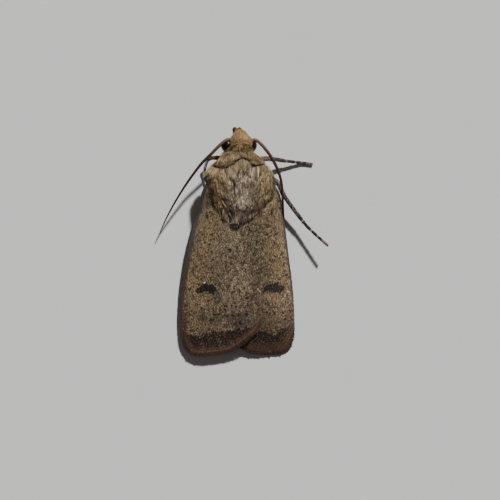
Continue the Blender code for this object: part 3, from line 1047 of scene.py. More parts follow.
    def skin(self) -> None:
        """The one skin under the coat, painted darker as shade in the gaps between the locks."""
        bm = self.joined()
        soften(bm, 4)
        bm.normal_update()
        for vert in bm.verts:
            head = float(ease(np.array((self.neck + 0.3 - vert.co.y) / 0.6)))
            depth = self.coat_depth + (self.face_depth - self.coat_depth) * head
            vert.co -= vert.normal * (self.join + depth)
            wider = 1.0 + head * float(table_at(self.swell, vert.co.y - self.front))
            lean = self.lean * head * float(ease(np.array((vert.co.y - self.front - 0.6) / 0.7)))
            vert.co.x = self.face + (vert.co.x - self.face) * wider + lean
            tucked = float(ease(np.array((3.5 - vert.co.z) / 0.5)) * ease(np.array((-4.3 - vert.co.y) / 0.8)))
            vert.co.x = self.middle + (vert.co.x - self.middle) * (1.0 - self.tuck * tucked)
            off = abs(vert.co.x - self.middle) - float(table_at(self.brow, vert.co.y))
            side = self.crest - self.fall * max(0.0, off) + 0.22 * min(max(0.0, -off), 1.4)
            rear = float(table_at(self.rear, vert.co.y)) - self.coat_depth
            vert.co.z = min(vert.co.z, side + 9.0 * head, rear)
        soften(bm, 6)
        self.keep(bm)
        grounds = np.array([self.furs[self.part(Vector(p), n)].tint for p, n in zip(self.spots, self.outs)])
        # Skin colours at 0.55 of the coat's: painted shade that shows in the gaps between the locks.
        shade = self.tints(self.spots, grounds) * 0.55
        install_bmesh("body_skin", bm, HIDE, self.flesh, lambda points: shade)

    def keep(self, bm: bmesh.types.BMesh) -> None:
        """Keeps the skin's vertices, normals, triangles and search tree for the coat."""
        bm.verts.index_update()
        bm.normal_update()
        self.spots = np.array([vert.co[:] for vert in bm.verts])
        self.outs = np.array([vert.normal[:] for vert in bm.verts])
        triangles = bm.calc_loop_triangles()
        self.triangles = np.array([[loop.vert.index for loop in corner] for corner in triangles])
        self.tree = BVHTree.FromBMesh(bm)

    def part(self, place: Vector, normal: Array) -> str:
        """Name of the part of the coat that a place on the skin belongs to."""
        if place.y > self.waist - 0.15:
            return "abdomen"
        nearest = min(self.flesh[:5], key=lambda node: self.trees[node].find_nearest(place)[3])
        if nearest == "head":
            return nearest
        if normal[2] < -0.25 or place.z < 1.9:
            return "breast"
        behind = float(self.behind_collar(np.array([place[:]]))[0])
        if behind < 0.0:
            return "collar"
        return "thorax" if nearest == "collar" and behind < FAR else nearest

    def roots(self, count: int, cell: float) -> tuple[Array, Array]:
        """Evenly spread places on the skin.

        Args:
            count: how many to try.
            cell: size of the cells that hold at most one of them.

        Returns:
            The places, and the skin's direction outwards at each.
        """
        rng = np.random.default_rng(11)
        a, b, c = (self.spots[self.triangles[:, corner]] for corner in range(3))
        area = np.linalg.norm(np.cross(b - a, c - a), axis=1)
        chosen = rng.choice(len(area), count, p=area / area.sum())
        u, v = rng.random((2, count))
        flip = u + v > 1.0
        u[flip], v[flip] = 1.0 - u[flip], 1.0 - v[flip]
        shares = np.stack((1.0 - u - v, u, v), 1)[..., None]
        corners = self.triangles[chosen]
        places = (self.spots[corners] * shares).sum(1)
        outs = unit((self.outs[corners] * shares).sum(1))
        _, first = np.unique(np.floor(places / cell).astype(int), axis=0, return_index=True)
        return places[first], outs[first]

    def settle(self, roots: Array, ends: Array, gap: Array) -> Array:
        """Lays the ends of locks on the skin, or behind the shoulders on the wings.

        Args:
            roots: where the locks stand.
            ends: where they would end if they were straight.
            gap: how far above the skin they end.

        Returns:
            Where they end.
        """
        hits = [self.tree.find_nearest(Vector(end)) for end in ends]
        laid, outs = (np.array([hit[number][:] for hit in hits]) for number in (0, 1))
        laid = laid + outs * gap[:, None]
        over = roots[:, 2] > ROOF.height(roots) - 0.15
        roof = ROOF.height(laid) - 0.12 + 0.3 * gap
        laid[:, 2] = np.where(over & (laid[:, 1] > -4.8), np.maximum(laid[:, 2], roof), laid[:, 2])
        touching = ends.copy()
        touching[:, 2] = ROOF.height(ends) - 0.10
        return blend(laid, touching, over * ease((ends[:, 1] + 3.1) / 1.0))

    def coat(self) -> None:
        """The coat of each part of the body."""
        fine, fine_outs = self.roots(self.tries, self.cell)
        names = np.array([self.part(Vector(p), n) for p, n in zip(fine, fine_outs)])
        boxes = [np.array(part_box("eye_" + side.label)) / MM for side in Side]
        eyes = [box.mean(0) for box in boxes]
        radius = (boxes[0][1] - boxes[0][0])[0] / 2
        near_eye = np.min([np.linalg.norm(fine - eye, axis=1) for eye in eyes], axis=0) < radius + 0.02
        for seed, (name, fur) in enumerate(self.furs.items(), 1):
            mine = np.flatnonzero((names == name) & ~near_eye)
            cells = np.floor(fine[mine] / fur.spacing).astype(int)
            _, first = np.unique(cells, axis=0, return_index=True)
            picked = mine[first]
            self.grow(name, fur, fine[picked], fine_outs[picked], seed)

    def lengths(self, name: str, fur: Fur, roots: Array, along: Array, rng: np.random.Generator) -> Array:
        """Length of each lock, cut where the collar or the thorax ends."""
        count = len(roots)
        length = fur.length * rng.uniform(0.72, 1.2, count)
        off = roots[:, 0] - self.middle
        onward = np.maximum(along[:, 1], 0.35)
        if name == "collar":
            room = -self.behind_collar(roots) / onward + rng.normal(0.0, 0.04, count)
            length = np.minimum(length, np.maximum(room, 0.16))
        if name in BACK_PARTS:
            length = length * (1.0 + 0.7 * ease((roots[:, 1] + 5.0) / 0.8) * ease((off - 0.9) / 0.7))
            end = self.front + table_at(self.rear_line, off)
            room = (end - roots[:, 1]) / onward + rng.normal(0.0, 0.2, count)
            length = np.minimum(length, np.maximum(room, 0.3))
        return length

    def grow(self, name: str, fur: Fur, roots: Array, outs: Array, seed: int) -> None:
        """Makes the coat of one part.

        Args:
            name: the part's name.
            fur: how its coat grows.
            roots: where the locks stand.
            outs: direction outwards at each root.
            seed: number that picks the scatter.
        """
        rng = np.random.default_rng(seed)
        count = len(roots)
        off = roots[:, 0] - self.middle
        sideways, back, up = fur.comb
        if name == "head":
            sideways = 0.15 + sideways * ease((roots[:, 1] - self.front - 0.35) / 0.5)
        if name.startswith("tegula"):
            shoulder = ease((-5.6 - roots[:, 1]) / 1.0) * ease((np.abs(off) - 2.0) / 0.8)
            sideways = sideways + np.where(off > 0.0, 0.50, 0.32) * shoulder
        backs = np.full(count, back)
        if name == "head":
            backs = back + 1.8 * ease((roots[:, 1] - self.front - 1.15) / 0.45)
        comb = np.stack((sideways * off, backs, np.full(count, up)), 1)
        swirl = 0.16 * Ripple(0.9, seed + 40).at(roots)
        comb += rng.normal(0.0, 0.08, (count, 3)) + np.stack((swirl, 0 * swirl, 0 * swirl), 1)
        along = flattened(comb, outs)
        length = self.lengths(name, fur, roots, along, rng)
        gap = fur.gap * rng.uniform(0.75, 1.25, count) * np.minimum(1.0, length / fur.length + 0.35)
        gap *= 1.0 - 0.65 * ease((roots[:, 1] + 4.0) / 1.6)
        lift = fur.lift * rng.uniform(0.75, 1.25, count)
        if name in BACK_PARTS:
            lift = lift * (1.0 + 1.3 * ease(1.0 - self.behind_collar(roots) / 0.7))
        roots = roots - outs * 0.03
        straight = roots + along * length[:, None]
        ends = self.settle(roots, straight, gap)
        bend = ends - straight - outs * (lift * length)[:, None]
        shown = roots + (ends - roots) * 0.85
        flow = off * np.exp(-fur.comb[0] * (roots[:, 1] + 6.0))
        strands = np.stack((flow, 0.13 * roots[:, 1], 0.5 * roots[:, 2]), 1)
        streaks = 0.36 if name in ("head", "collar") else 0.55
        tone = streaks * Ripple(0.19, seed + 20).at(strands) + 0.15 * Ripple(0.8, seed + 60).at(roots)
        tone += 0.14 * rng.normal(size=count)
        tints = self.tints(shown, even(fur.tint, count)) * np.exp(tone)[:, None]
        light = rng.random(count)
        tints = np.where((light > 0.94)[:, None], tints * 1.4, tints)
        tints = np.where((light < 0.10)[:, None], tints * 0.5, tints)
        angle = np.arctan2(roots[:, 0] - self.middle, roots[:, 2] - 2.9)
        coat = Coat(
            roots=roots,
            along=along,
            out=outs,
            spots=np.stack((angle, roots[:, 1] + 0.15 * roots[:, 2]), 1),
            tints=tints,
            length=length,
            width=fur.width * rng.uniform(0.75, 1.25, count),
            depth=np.full(count, 0.012),
            lift=lift,
            bend=bend,
        )
        install(f"coat_{name}", coat.mesh(LONG_LOCK if fur.long else SHORT_LOCK), HAIR)

    def build(self) -> None:
        """Makes the skin and its coat."""
        self.skin()
        self.coat()


# ---------------------------------------------------------------- wings


@dataclass(frozen=True)
class Roof:
    """The surface of the folded wings: a flat back that turns down along the front edges.

    Attributes:
        ridge: place along the body and height of the back.
        eaves: place and height of the outer edges.
        middle: place and position of the ridge.
        half_width: place and distance from the ridge to the edges.
        power: how sharply the edges turn down.
    """

    ridge: tuple[Point, ...] = (
        (-5.5, 4.3), (-2.5, 4.2), (0.0, 3.9), (3.0, 3.3), (6.0, 2.65), (8.5, 1.95), (11.0, 1.1))
    eaves: tuple[Point, ...] = (
        (-5.5, 2.15), (-3.9, 1.8), (-2.0, 1.5), (0.4, 1.25), (5.5, 0.95), (9.0, 0.92), (11.0, 0.6))
    middle: tuple[Point, ...] = ((-5.5, 0.15), (-4.0, 0.15), (0.8, 0.49), (5.5, 0.55), (11.0, 0.5))
    half_width: tuple[Point, ...] = ((-5.5, 3.5), (-4.0, 3.75), (0.8, 4.75), (5.5, 5.35), (11.0, 5.42))
    power: tuple[Point, ...] = ((-5.5, 5.0), (-2.0, 4.2), (3.0, 3.0))

    def height(self, points: Array) -> Array:
        """Height of the roof over places in the plane."""
        x, y = points[:, 0], points[:, 1]
        ridge = table_at(self.ridge, y)
        off = np.abs(x - table_at(self.middle, y)) / table_at(self.half_width, y)
        return ridge - (ridge - table_at(self.eaves, y)) * np.minimum(off, 1.12) ** table_at(self.power, y)


ROOF = Roof()


@dataclass
class Wing:
    """One wing: a membrane with scales on both faces.

    The outline is given as (inwards, forwards): how far inwards of the wing's outermost point and forwards
    of its rearmost point each key point lies. It starts at the base and runs along the front edge, round
    the tip and back along the inner margin. Markings are placed in the same way.

    Attributes:
        side: which side it belongs to.
        outline: its key points.
        drop: how far its upper face lies under the roof.
        fringe: length of the fringe along its outer margin.
        row: distance between neighbouring scales.
        kind: start of its node's name.
        grid: spacing of the membrane's faces.
        thickness: thickness of the membrane.
        sag: how much lower its outer margin hangs.
        covered_by: the wing that lies over it.
        split: how far forwards the front piece of its scales begins.
    """

    side: Side
    outline: tuple[Point, ...]
    drop: float
    fringe: float
    row: float
    kind: str
    grid: float = 0.14
    thickness: float = 0.05
    sag: float = 0.0
    covered_by: Optional["Wing"] = None
    split: float = 7.0

    def __post_init__(self) -> None:
        """Lays the outline on the wing's solid."""
        low, high = (np.array(corner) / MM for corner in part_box(self.node))
        self.corner = np.array((high[0] if self.side is Side.LEFT else low[0], high[1]))
        keys = [self.place(point) for point in self.outline]
        self.edge = curve(keys, np.arange(0, len(keys), 0.2), closed=True)
        self.hinge = self.place((2.7, 16.6))
        inwards = np.roll(self.edge, -1, axis=0) - np.roll(self.edge, 1, axis=0)
        inwards = unit(np.stack((-inwards[:, 1], inwards[:, 0]), 1))
        inwards[~within(self.edge + inwards * 0.05, self.edge)] *= -1.0
        local = self.local(self.edge)
        self.outer = (local[:, 1] < 3.6) & ((local[:, 0] > 0.5) | (local[:, 1] < 1.0))
        self.rim = self.edge + inwards * (self.fringe * ease((3.9 - local[:, 1]) / 2.6))[:, None]

    @property
    def node(self) -> str:
        """Name of the wing's solid."""
        return f"{self.kind}_{self.side.label}"

    def place(self, point: Point) -> Array:
        """Place in the plane of a point given inwards and forwards."""
        return self.corner + np.array((-self.side.value * point[0], -point[1]))

    def local(self, points: Array) -> Array:
        """Places in the plane as distances inwards and forwards."""
        gap = self.corner - points[:, :2]
        return np.stack((gap[:, 0] * self.side.value, gap[:, 1]), 1)

    def front_edge(self, forwards: Array) -> Array:
        """How far inwards the front edge lies, at distances forwards."""
        keys = sorted((q, p) for p, q in self.outline[:9])
        return np.interp(forwards, *np.array(keys).T)

    def relief(self, points: Array) -> Array:
        """Veins and gentle waves of the membrane."""
        local = self.local(points)
        fan = (local[:, 0] - self.front_edge(local[:, 1])) / (1.2 + 0.36 * (16.4 - local[:, 1]))
        veins = np.zeros(len(points))
        for line in (0.10, 0.22, 0.36, 0.50, 0.63, 0.77, 0.90):
            veins += np.exp(-(((fan - line) / 0.013) ** 2))
        waves = Ripple(5.0, 31).at(points[:, :2] * np.array((1.6, 0.5)))
        return 0.022 * veins + 0.05 * waves

    def height(self, points: Array) -> Array:
        """Height of the membrane's upper face."""
        sag = self.sag * ease((2.6 - self.local(points)[:, 1]) / 2.6)
        return ROOF.height(points) - self.drop - sag + self.relief(points)

    def slopes(self, points: Array) -> Array:
        """Direction straight up from the upper face."""
        step = 0.05
        rise = [(self.height(points + shift) - self.height(points - shift)) / (2 * step)
                for shift in (np.array((step, 0.0)), np.array((0.0, step)))]
        return unit(np.stack((-rise[0], -rise[1], np.ones(len(points))), 1))

    def membrane(self) -> None:
        """The wing's own sheet."""
        bm = bmesh.new()
        for x, y in self.rim:
            bm.verts.new((x, y, 0.0))
        bm.faces.new(bm.verts)
        for normal, values in (((1, 0, 0), self.rim[:, 0]), ((0, 1, 0), self.rim[:, 1])):
            for place in np.arange(values.min() + self.grid / 2, values.max(), self.grid):
                bmesh.ops.bisect_plane(
                    bm, geom=bm.verts[:] + bm.edges[:] + bm.faces[:], dist=1e-5,
                    plane_co=Vector(normal) * place, plane_no=normal,
                )
        bmesh.ops.remove_doubles(bm, verts=bm.verts, dist=self.grid / 8)
        lower = verts_in(bmesh.ops.extrude_face_region(bm, geom=bm.faces[:])["geom"])
        flats = np.array([vert.co[:2] for vert in bm.verts])
        local = self.local(flats)
        rib = 0.10 * np.exp(-np.abs(local[:, 0] - self.front_edge(local[:, 1])) / 0.12)
        for vert, height, depth in zip(bm.verts, self.height(flats), self.thickness + rib):
            vert.co.z = height - (depth if vert in lower else 0.0)
        bmesh.ops.triangulate(bm, faces=bm.faces[:])
        bmesh.ops.recalc_face_normals(bm, faces=bm.faces)
        painter = lambda points: self.tints(points[:, :2], None) * 0.7
        install_bmesh(f"{self.node}_membrane", bm, MEMBRANE, [self.node], painter)

    def tints(self, points: Array, rng: Optional[np.random.Generator]) -> Array:
        """Colours of the upper face.

        Args:
            points: places in the plane.
            rng: source of the scatter from scale to scale, or None for the membrane's even colours.

        Returns:
            One colour for each place.
        """
        raise NotImplementedError

    def rows(self, row: float) -> Array:
        """Places of scales in staggered rows, with a little scatter."""
        rng = np.random.default_rng(3)
        low, high = self.rim.min(0), self.rim.max(0)
        xs, ys = np.meshgrid(np.arange(low[0], high[0], row), np.arange(low[1], high[1], row * 0.87))
        xs[1::2] += row / 2
        points = np.stack((xs.ravel(), ys.ravel()), 1)
        points += rng.normal(0.0, row * 0.2, points.shape)
        return points[within(points, self.rim)]

    def lay(self, points: Array, upper: bool, row: float, seed: int) -> Coat:
        """Coat of scales that lie on one face and point away from the hinge.

        Args:
            points: places of the scales in the plane.
            upper: whether they lie on the upper face.
            row: distance between neighbours.
            seed: number that picks the scatter.

        Returns:
            The coat, in even ground colour.
        """
        rng = np.random.default_rng(seed)
        count = len(points)
        outs = self.slopes(points)
        heights = self.height(points)
        away = unit(points - self.hinge)
        away = unit(away + np.array((0.0, 0.35)) + rng.normal(0.0, 0.14, away.shape))
        comb = np.concatenate((away, np.zeros((count, 1))), 1)
        if not upper:
            outs = -outs
            heights = heights - self.thickness
        along = flattened(comb, outs)
        length = 2.3 * row * rng.uniform(0.85, 1.15, count)
        roots = np.concatenate((points, heights[:, None]), 1) - along * (0.45 * length)[:, None]
        lift = rng.uniform(0.06, 0.15, count)
        return Coat(
            roots=roots + outs * 0.003,
            along=along,
            out=outs,
            spots=self.local(points),
            tints=np.ones((count, 3)),
            length=length,
            width=0.62 * row * rng.uniform(0.85, 1.15, count),
            depth=np.full(count, 0.0028),
            lift=lift,
            bend=outs * (-0.4 * lift * length)[:, None],
        )

    def hidden(self, points: Array, reach: float) -> Array:
        """Which places lie under the wing above, more than reach inside its margin."""
        if self.covered_by is None:
            return np.zeros(len(points), bool)
        gap, _ = off_line(points, self.covered_by.edge)
        return within(points, self.covered_by.edge) & (gap > reach)

    def add_scales(self, coat: Coat, part: str) -> None:
        """Makes one piece of the wing's scales."""
        install(f"{self.node}_{part}", coat.mesh(TILE), WING_SCALE, smooth=False)

    def scales(self) -> None:
        """The scales of both faces. Those of the upper one are split into a front and a rear piece."""
        rng = np.random.default_rng(7)
        points = self.rows(self.row)
        points = points[~self.hidden(points, 0.4)]
        coat = self.lay(points, True, self.row, 8)
        coat.tints = self.tints(points, rng)
        front = self.local(points)[:, 1] > self.split
        for part, chosen in (("front", front), ("rear", ~front)):
            self.add_scales(coat.only(chosen), f"scales_{part}")
        points = self.rows(self.row * 2.0)
        points = points[off_line(points, self.rim)[0] > 0.25]
        coat = self.lay(points, False, self.row * 2.0, 9)
        tone = np.exp(0.16 * rng.normal(size=len(points)) + 0.1 * Ripple(0.8, 12).at(points))
        coat.tints = np.array(UNDERSIDE) * tone[:, None]
        self.add_scales(coat, "underside")

    def fringes(self) -> None:
        """Three rows of long scales along the outer margin."""
        rng = np.random.default_rng(17)
        free = self.local(self.edge)[:, 1] < 3.8
        start = int(np.flatnonzero(~free)[0])
        turned = np.roll(free, -start)
        line, rim = (np.roll(held, -start, axis=0)[turned] for held in (self.edge, self.rim))
        run = run_of(rim)
        parts = []
        for row, share in enumerate((0.55, 0.8, 1.0)):
            places = np.arange(0.0, run[-1], 0.034) + 0.011 * row
            base, ends = between(places, run, rim), between(places, run, line)
            parts.append((base, ends, np.full(len(places), share), places / run[-1]))
        base, ends, share, place = (np.concatenate(held) for held in zip(*parts))
        keep = np.linalg.norm(ends - base, axis=1) > 0.05
        base, ends, share, place = base[keep], ends[keep], share[keep], place[keep]
        count = len(base)
        reach = np.linalg.norm(ends - base, axis=1)
        way = unit(ends - base + rng.normal(0.0, 0.12, base.shape) * reach[:, None])
        outs = self.slopes(base)
        comb = np.concatenate((way, np.zeros((count, 1))), 1)
        along = flattened(comb, outs)
        heights = self.height(base) - self.thickness / 2 + 0.03 * (1.0 - share)
        length = (reach * share + 0.08) * rng.uniform(0.9, 1.08, count)
        coat = Coat(
            roots=np.concatenate((base, heights[:, None]), 1) - along * 0.06,
            along=along,
            out=outs,
            spots=np.stack((place, share + rng.uniform(-0.1, 0.1, count)), 1),
            tints=self.fringe_tints(self.local(ends)[:, 1], share, rng),
            length=length,
            width=np.full(count, 0.032),
            depth=np.full(count, 0.003),
            lift=rng.normal(0.0, 0.05, count),
            bend=np.zeros((count, 3)),
        )
        self.add_scales(coat, "fringe")

    def fringe_tints(self, forwards: Array, share: Array, rng: np.random.Generator) -> Array:
        """Colours of the fringe's scales, from how far forwards they stand and how far out they reach."""
        raise NotImplementedError

    def build(self) -> None:
        """Makes the wing's pieces."""
        self.membrane()
        self.scales()
        self.fringes()


@dataclass
class Forewing(Wing):
    """Forewing with its dark kidney mark, flecks and reddish border.

    Attributes:
        marks: its markings.
        border: how far forwards the dark border reaches, at distances inwards.
        red_rim: width of the red-brown strip along the outer margin.
        line_strength: how clearly the pale line in that strip shows.
        tone: how light its ground is.
        flush: how red-brown its front edge is towards the tip.
        fleck_count: number of small dark flecks.
        edge_width: width of the dark strip along the front edge.
    """

    marks: list[Blot | Streak] = field(default_factory=list)
    border: tuple[Point, ...] = ()
    red_rim: float = 0.9
    line_strength: float = 0.72
    tone: float = 1.0
    flush: float = 1.0
    fleck_count: int = 1700
    edge_width: float = 0.26

    def grounds(self, local: Array, from_edge: Array, points: Array) -> Array:
        """Ground colours: golden behind the front edge, greyer further in."""
        forwards = local[:, 1]
        tints = even(GROUND, len(points))
        tints = blend(tints, GROUND_GREY, ease((from_edge - 1.4) / 2.2) * 0.8)
        gold = ease((2.4 - from_edge) / 1.2) * ease((forwards - 5.5) / 2.0)
        tints = blend(tints, GROUND_GOLD, gold * 0.8)
        tints = tints * self.tone * (1.0 + 0.09 * Ripple(3.2, 4).at(points))[:, None]
        return blend(tints, BROWN, 0.36 * ease((6.5 - forwards) / 3.5))

    def freckled(self, tints: Array, points: Array, local: Array, rng: np.random.Generator) -> Array:
        """Colours with their salt-and-pepper texture: light and dark scales, and small dark flecks."""
        count = len(points)
        stretched = points * np.array((1.0, 0.7))
        grain = 0.24 * Ripple(0.15, 9).at(stretched) + 0.15 * Ripple(0.6, 10).at(stretched)
        dark = ease((Ripple(0.18, 21).at(stretched) - 0.45) / 0.35)
        tints = tints * np.exp(0.12 + grain - 0.95 * dark + 0.28 * rng.normal(size=count))[:, None]
        low, high = local.min(0), local.max(0)
        places = rng.uniform(low, high, (self.fleck_count, 2))
        sizes = 0.040 + 0.080 * rng.random(self.fleck_count) ** 3
        cover = np.zeros(count)
        for (x, y), size in zip(places, sizes):
            gap = np.hypot((local[:, 0] - x) * 1.2, (local[:, 1] - y) * 0.8)
            cover = np.maximum(cover, ease((size * 1.35 - gap) / (size * 0.7)))
        tints = blend(tints, SPECK, 0.85 * cover)
        pale = rng.random(count) > 0.985
        return np.where(pale[:, None], blend(tints, PALE_SCALE, np.full(count, 0.65)), tints)

    def tints(self, points: Array, rng: Optional[np.random.Generator]) -> Array:
        """Colours of the upper face, with the markings and, for scales, their scatter."""
        local = self.local(points)
        inwards, forwards = local.T
        from_edge = inwards - self.front_edge(forwards)
        outer = self.edge[self.outer]
        margin, _ = off_line(points, outer[np.argsort(self.local(outer)[:, 0])])
        count = len(points)
        wander = Ripple(0.42, 2).at(points)
        tints = self.grounds(local, from_edge, points)
        grain = None
        if rng is not None:
            tints = self.freckled(tints, points, local, rng)
            grain = Ripple(0.19, 14).at(points) + 0.25 * rng.normal(size=count)
        tints = marked(tints, local, self.marks, 0.6 * wander, grain)
        depth = table_at(self.border, inwards) - forwards + 0.14 * wander
        tints = blend(tints, RED_BROWN, 0.93 * grainy(ease(depth / 0.45 + 0.5), grain))
        band = ease(depth / 0.35 + 0.5) * ease((margin + 0.10 * wander - self.red_rim) / 0.35 + 0.5)
        corner = ease((1.15 - inwards) / 0.7)
        tints = blend(tints, BORDER, grainy(band * (0.95 - 0.5 * corner), grain))
        if grain is not None:
            inside = ease(depth / 0.3 - 0.5) * ease((margin - 0.5) / 0.2)
            tints = tints * np.exp(0.5 * inside * Ripple(0.22, 15).at(points))[:, None]
            tints = blend(tints, GROUND, 0.45 * inside * ease((Ripple(0.17, 16).at(points) - 0.6) / 0.4))
            tints = blend(tints, GROUND_GREY, 0.5 * inside * (rng.random(count) > 0.93))
        line = np.exp(-(((margin - self.fringe - 0.08) / 0.05) ** 2))
        tints = blend(tints, STRAW, self.line_strength * line)
        # Dark strip along the front edge: the edge's own red-brown, darkening to dark brown towards the base,
        # plus painted shade of the turned-down edge. The left forewing faces away from the key light and has
        # the wider strip.
        darker = ease((forwards - 1.0 - 4.0 * self.flush) / 4.0)
        edge_strip_and_shade_tint = blend(even(RED_BROWN, count), DARK_BROWN, darker)
        width = self.edge_width * (0.55 + 0.45 * ease((forwards - 4.0) / 4.0))
        tints = blend(tints, edge_strip_and_shade_tint, 0.9 * ease((width - from_edge) / 0.16))
        reddish = 0.75 * ease((0.95 - from_edge) / 0.7) * ease((6.5 - forwards) / 3.5)
        tints = blend(tints, RED_BROWN, self.flush * grainy(reddish, grain))
        if rng is None:
            return tints
        return tints * scattered(rng, count, 0.10)

    def fringe_tints(self, forwards: Array, share: Array, rng: np.random.Generator) -> Array:
        """Colours of the fringe: red-brown, darker at the tips, paler up the inner margin."""
        count = len(forwards)
        base = blend(even(RED_BROWN, count), DARK_BROWN, 0.45 * (share > 0.9))
        tints = blend(base, GROUND_GREY, 0.75 * ease((forwards - 1.9) / 1.4))
        return tints * scattered(rng, count, 0.18)


class Hindwing(Wing):
    """Plain pale hindwing, folded away under the forewings."""

    def tints(self, points: Array, rng: Optional[np.random.Generator]) -> Array:
        """Colours of the upper face: pale, greyer towards the outer margin."""
        local = self.local(points)
        tints = even(HINDWING_TINT, len(points))
        tints = blend(tints, BROWN, 0.5 * ease((3.5 - local[:, 1]) / 3.0))
        if rng is None:
            return tints
        return tints * scattered(rng, len(points), 0.12)

    def fringe_tints(self, forwards: Array, share: Array, rng: np.random.Generator) -> Array:
        """Colours of the fringe: pale straw."""
        return np.array(HINDWING_TINT) * scattered(rng, len(forwards), 0.12)


@dataclass
class Wings:
    """The four wings, folded over the back with the left forewing on top.

    Attributes:
        left_outline: outline of the left forewing, as Wing describes.
        right_outline: outline of the right forewing.
        hind_outline: outline of both hindwings.
        left_border: how far forwards the left forewing's border reaches, at distances inwards.
        right_border: the same on the right forewing.
    """

    left_outline: tuple[Point, ...] = (
        (3.05, 16.63), (2.11, 15.93), (1.68, 14.33), (1.20, 12.43), (0.71, 10.13), (0.20, 7.03), (0.02, 4.53),
        (0.03, 2.13), (0.23, 0.98), (0.75, 0.23), (1.75, 0.0), (3.35, 0.10), (4.85, 0.43), (6.35, 1.43),
        (7.50, 2.58), (7.77, 3.73), (7.0, 6.63), (6.40, 8.83), (5.90, 10.63), (5.45, 12.43), (5.25, 15.43),
    )
    right_outline: tuple[Point, ...] = (
        (2.34, 16.1), (1.44, 15.3), (0.99, 12.6), (0.64, 9.80), (0.24, 6.60), (0.06, 3.80), (0.0, 2.0),
        (0.20, 0.95), (0.80, 0.22), (2.34, -0.03), (3.74, 0.04), (4.75, 0.30), (6.24, 1.50), (7.29, 2.90),
        (7.44, 3.90), (6.69, 6.70), (6.09, 8.90), (5.54, 10.7), (5.24, 12.4), (4.54, 15.3),
    )
    hind_outline: tuple[Point, ...] = (
        (2.7, 11.1), (1.7, 11.2), (0.65, 8.7), (0.05, 5.3), (0.05, 2.7), (0.55, 0.8), (1.65, 0.0),
        (2.7, 0.9), (3.0, 3.4), (3.05, 7.9),
    )
    left_border: tuple[Point, ...] = (
        (0.0, 2.8), (0.6, 2.35), (1.07, 2.05), (2.32, 2.12), (3.08, 2.42), (4.46, 2.45), (5.3, 2.6),
        (6.12, 2.66), (6.66, 2.95), (7.8, 3.9))
    right_border: tuple[Point, ...] = (
        (0.0, 3.2), (0.49, 2.95), (1.25, 2.44), (1.94, 1.95), (2.53, 2.15), (3.54, 2.4), (4.6, 2.6),
        (7.5, 3.6))

    def dots(self, places: Sequence[Point], size: float) -> list[Blot]:
        """Small dark dots."""
        return [Blot(place, (size, size * 0.85), BLACKISH, 0.88) for place in places]

    def left_marks(self) -> list[Blot | Streak]:
        """Markings of the left forewing."""
        specks = ((4.66, 10.23), (2.13, 11.64), (2.89, 11.69), (6.29, 5.61), (7.0, 10.3), (2.48, 14.36),
                  (4.3, 4.85), (5.9, 12.05))
        beyond = ((4.89, 4.85), (4.22, 4.52), (3.65, 4.09), (3.25, 4.07), (3.0, 3.5), (0.71, 3.33),
                  (4.43, 3.93), (6.75, 5.61), (6.34, 5.66), (6.43, 5.11))
        corner = ((5.52, 4.02), (6.25, 4.07), (5.16, 3.11), (6.25, 2.75), (5.61, 3.25), (5.25, 2.57),
                  (4.9, 4.0))
        return [
            Blot((5.5, 9.6), (0.5, 0.8), SOOT, 0.25, edge=0.8),
            Blot((5.6, 3.45), (1.15, 0.75), SOOT, 0.55, 8.0, edge=0.8),
            Blot((2.0, 3.9), (0.42, 0.3), SOOT, 0.6, edge=0.7),
            Blot((3.3, 3.75), (0.5, 0.42), SOOT, 0.5, edge=0.7),
            Blot((3.5, 5.75), (0.36, 0.55), SOOT, 0.55, edge=0.8),
            *self.dots(specks, 0.13),
            *self.dots(beyond, 0.12),
            *self.dots(corner, 0.15),
            Streak(((1.93, 14.1), (2.0, 13.7)), 0.10, BLACKISH, 0.9),
            Streak(((2.48, 13.7), (2.56, 13.1)), 0.10, BLACKISH, 0.9),
            Streak(((3.0, 14.9), (3.2, 14.0)), 0.12, DARK_BROWN, 0.8),
            Blot((2.3, 14.4), (0.3, 0.5), GROUND_GOLD, 0.5),
            Blot((5.12, 12.38), (0.48, 0.36), BLACKISH, 0.97),
            Streak(((4.85, 12.55), (4.95, 12.1)), 0.12, BLACKISH, 0.9),
            Streak(((1.9, 15.2), (2.0, 14.9)), 0.08, BLACKISH, 0.8),
            Streak(((2.75, 15.5), (2.85, 15.1)), 0.09, BLACKISH, 0.85),
            Streak(((2.9, 13.8), (3.05, 13.6)), 0.06, BLACKISH, 0.8),
            Blot((2.66, 15.85), (0.14, 0.12), PALE_SCALE, 0.8),
            Blot((2.95, 15.6), (0.12, 0.12), PALE_SCALE, 0.8),
            Blot((4.66, 10.1), (0.2, 0.22), BLACKISH, 0.75),
            Streak(((4.4, 10.75), (4.62, 10.42), (4.9, 10.85)), 0.045, PALE_SCALE, 0.6),
            Blot((3.02, 6.42), (0.38, 0.48), KIDNEY, 0.98),
            Blot((2.43, 6.64), (0.52, 0.38), KIDNEY, 0.98),
            Blot((1.84, 6.36), (0.48, 0.27), KIDNEY, 0.95, 16.0),
            Blot((2.29, 7.12), (0.085, 0.085), (0.85, 0.78, 0.55), 0.95),
            Blot((4.93, 6.9), (0.07, 0.07), PALE_SCALE, 0.9),
            Streak(((3.1, 8.65), (3.12, 7.3)), 0.06, BROWN, 0.7),
            Streak(((5.2, 8.65), (5.4, 7.8)), 0.06, BROWN, 0.7),
            Streak(((6.4, 9.3), (6.55, 8.0)), 0.06, DARK_BROWN, 0.6),
            Streak(((6.2, 9.4), (6.6, 8.0)), 0.10, BROWN, 0.5),
            Streak(((6.8, 7.0), (7.05, 6.0), (7.3, 5.0), (7.4, 3.9), (7.1, 3.1)), 0.22, RED_BROWN, 0.55),
            Streak(((6.55, 5.9), (6.6, 5.0), (6.5, 4.3)), 0.14, RED_BROWN, 0.5),
            Streak(((3.6, 1.62), (2.6, 1.35), (1.7, 1.5)), 0.05, PALE_SCALE, 0.35),
        ]

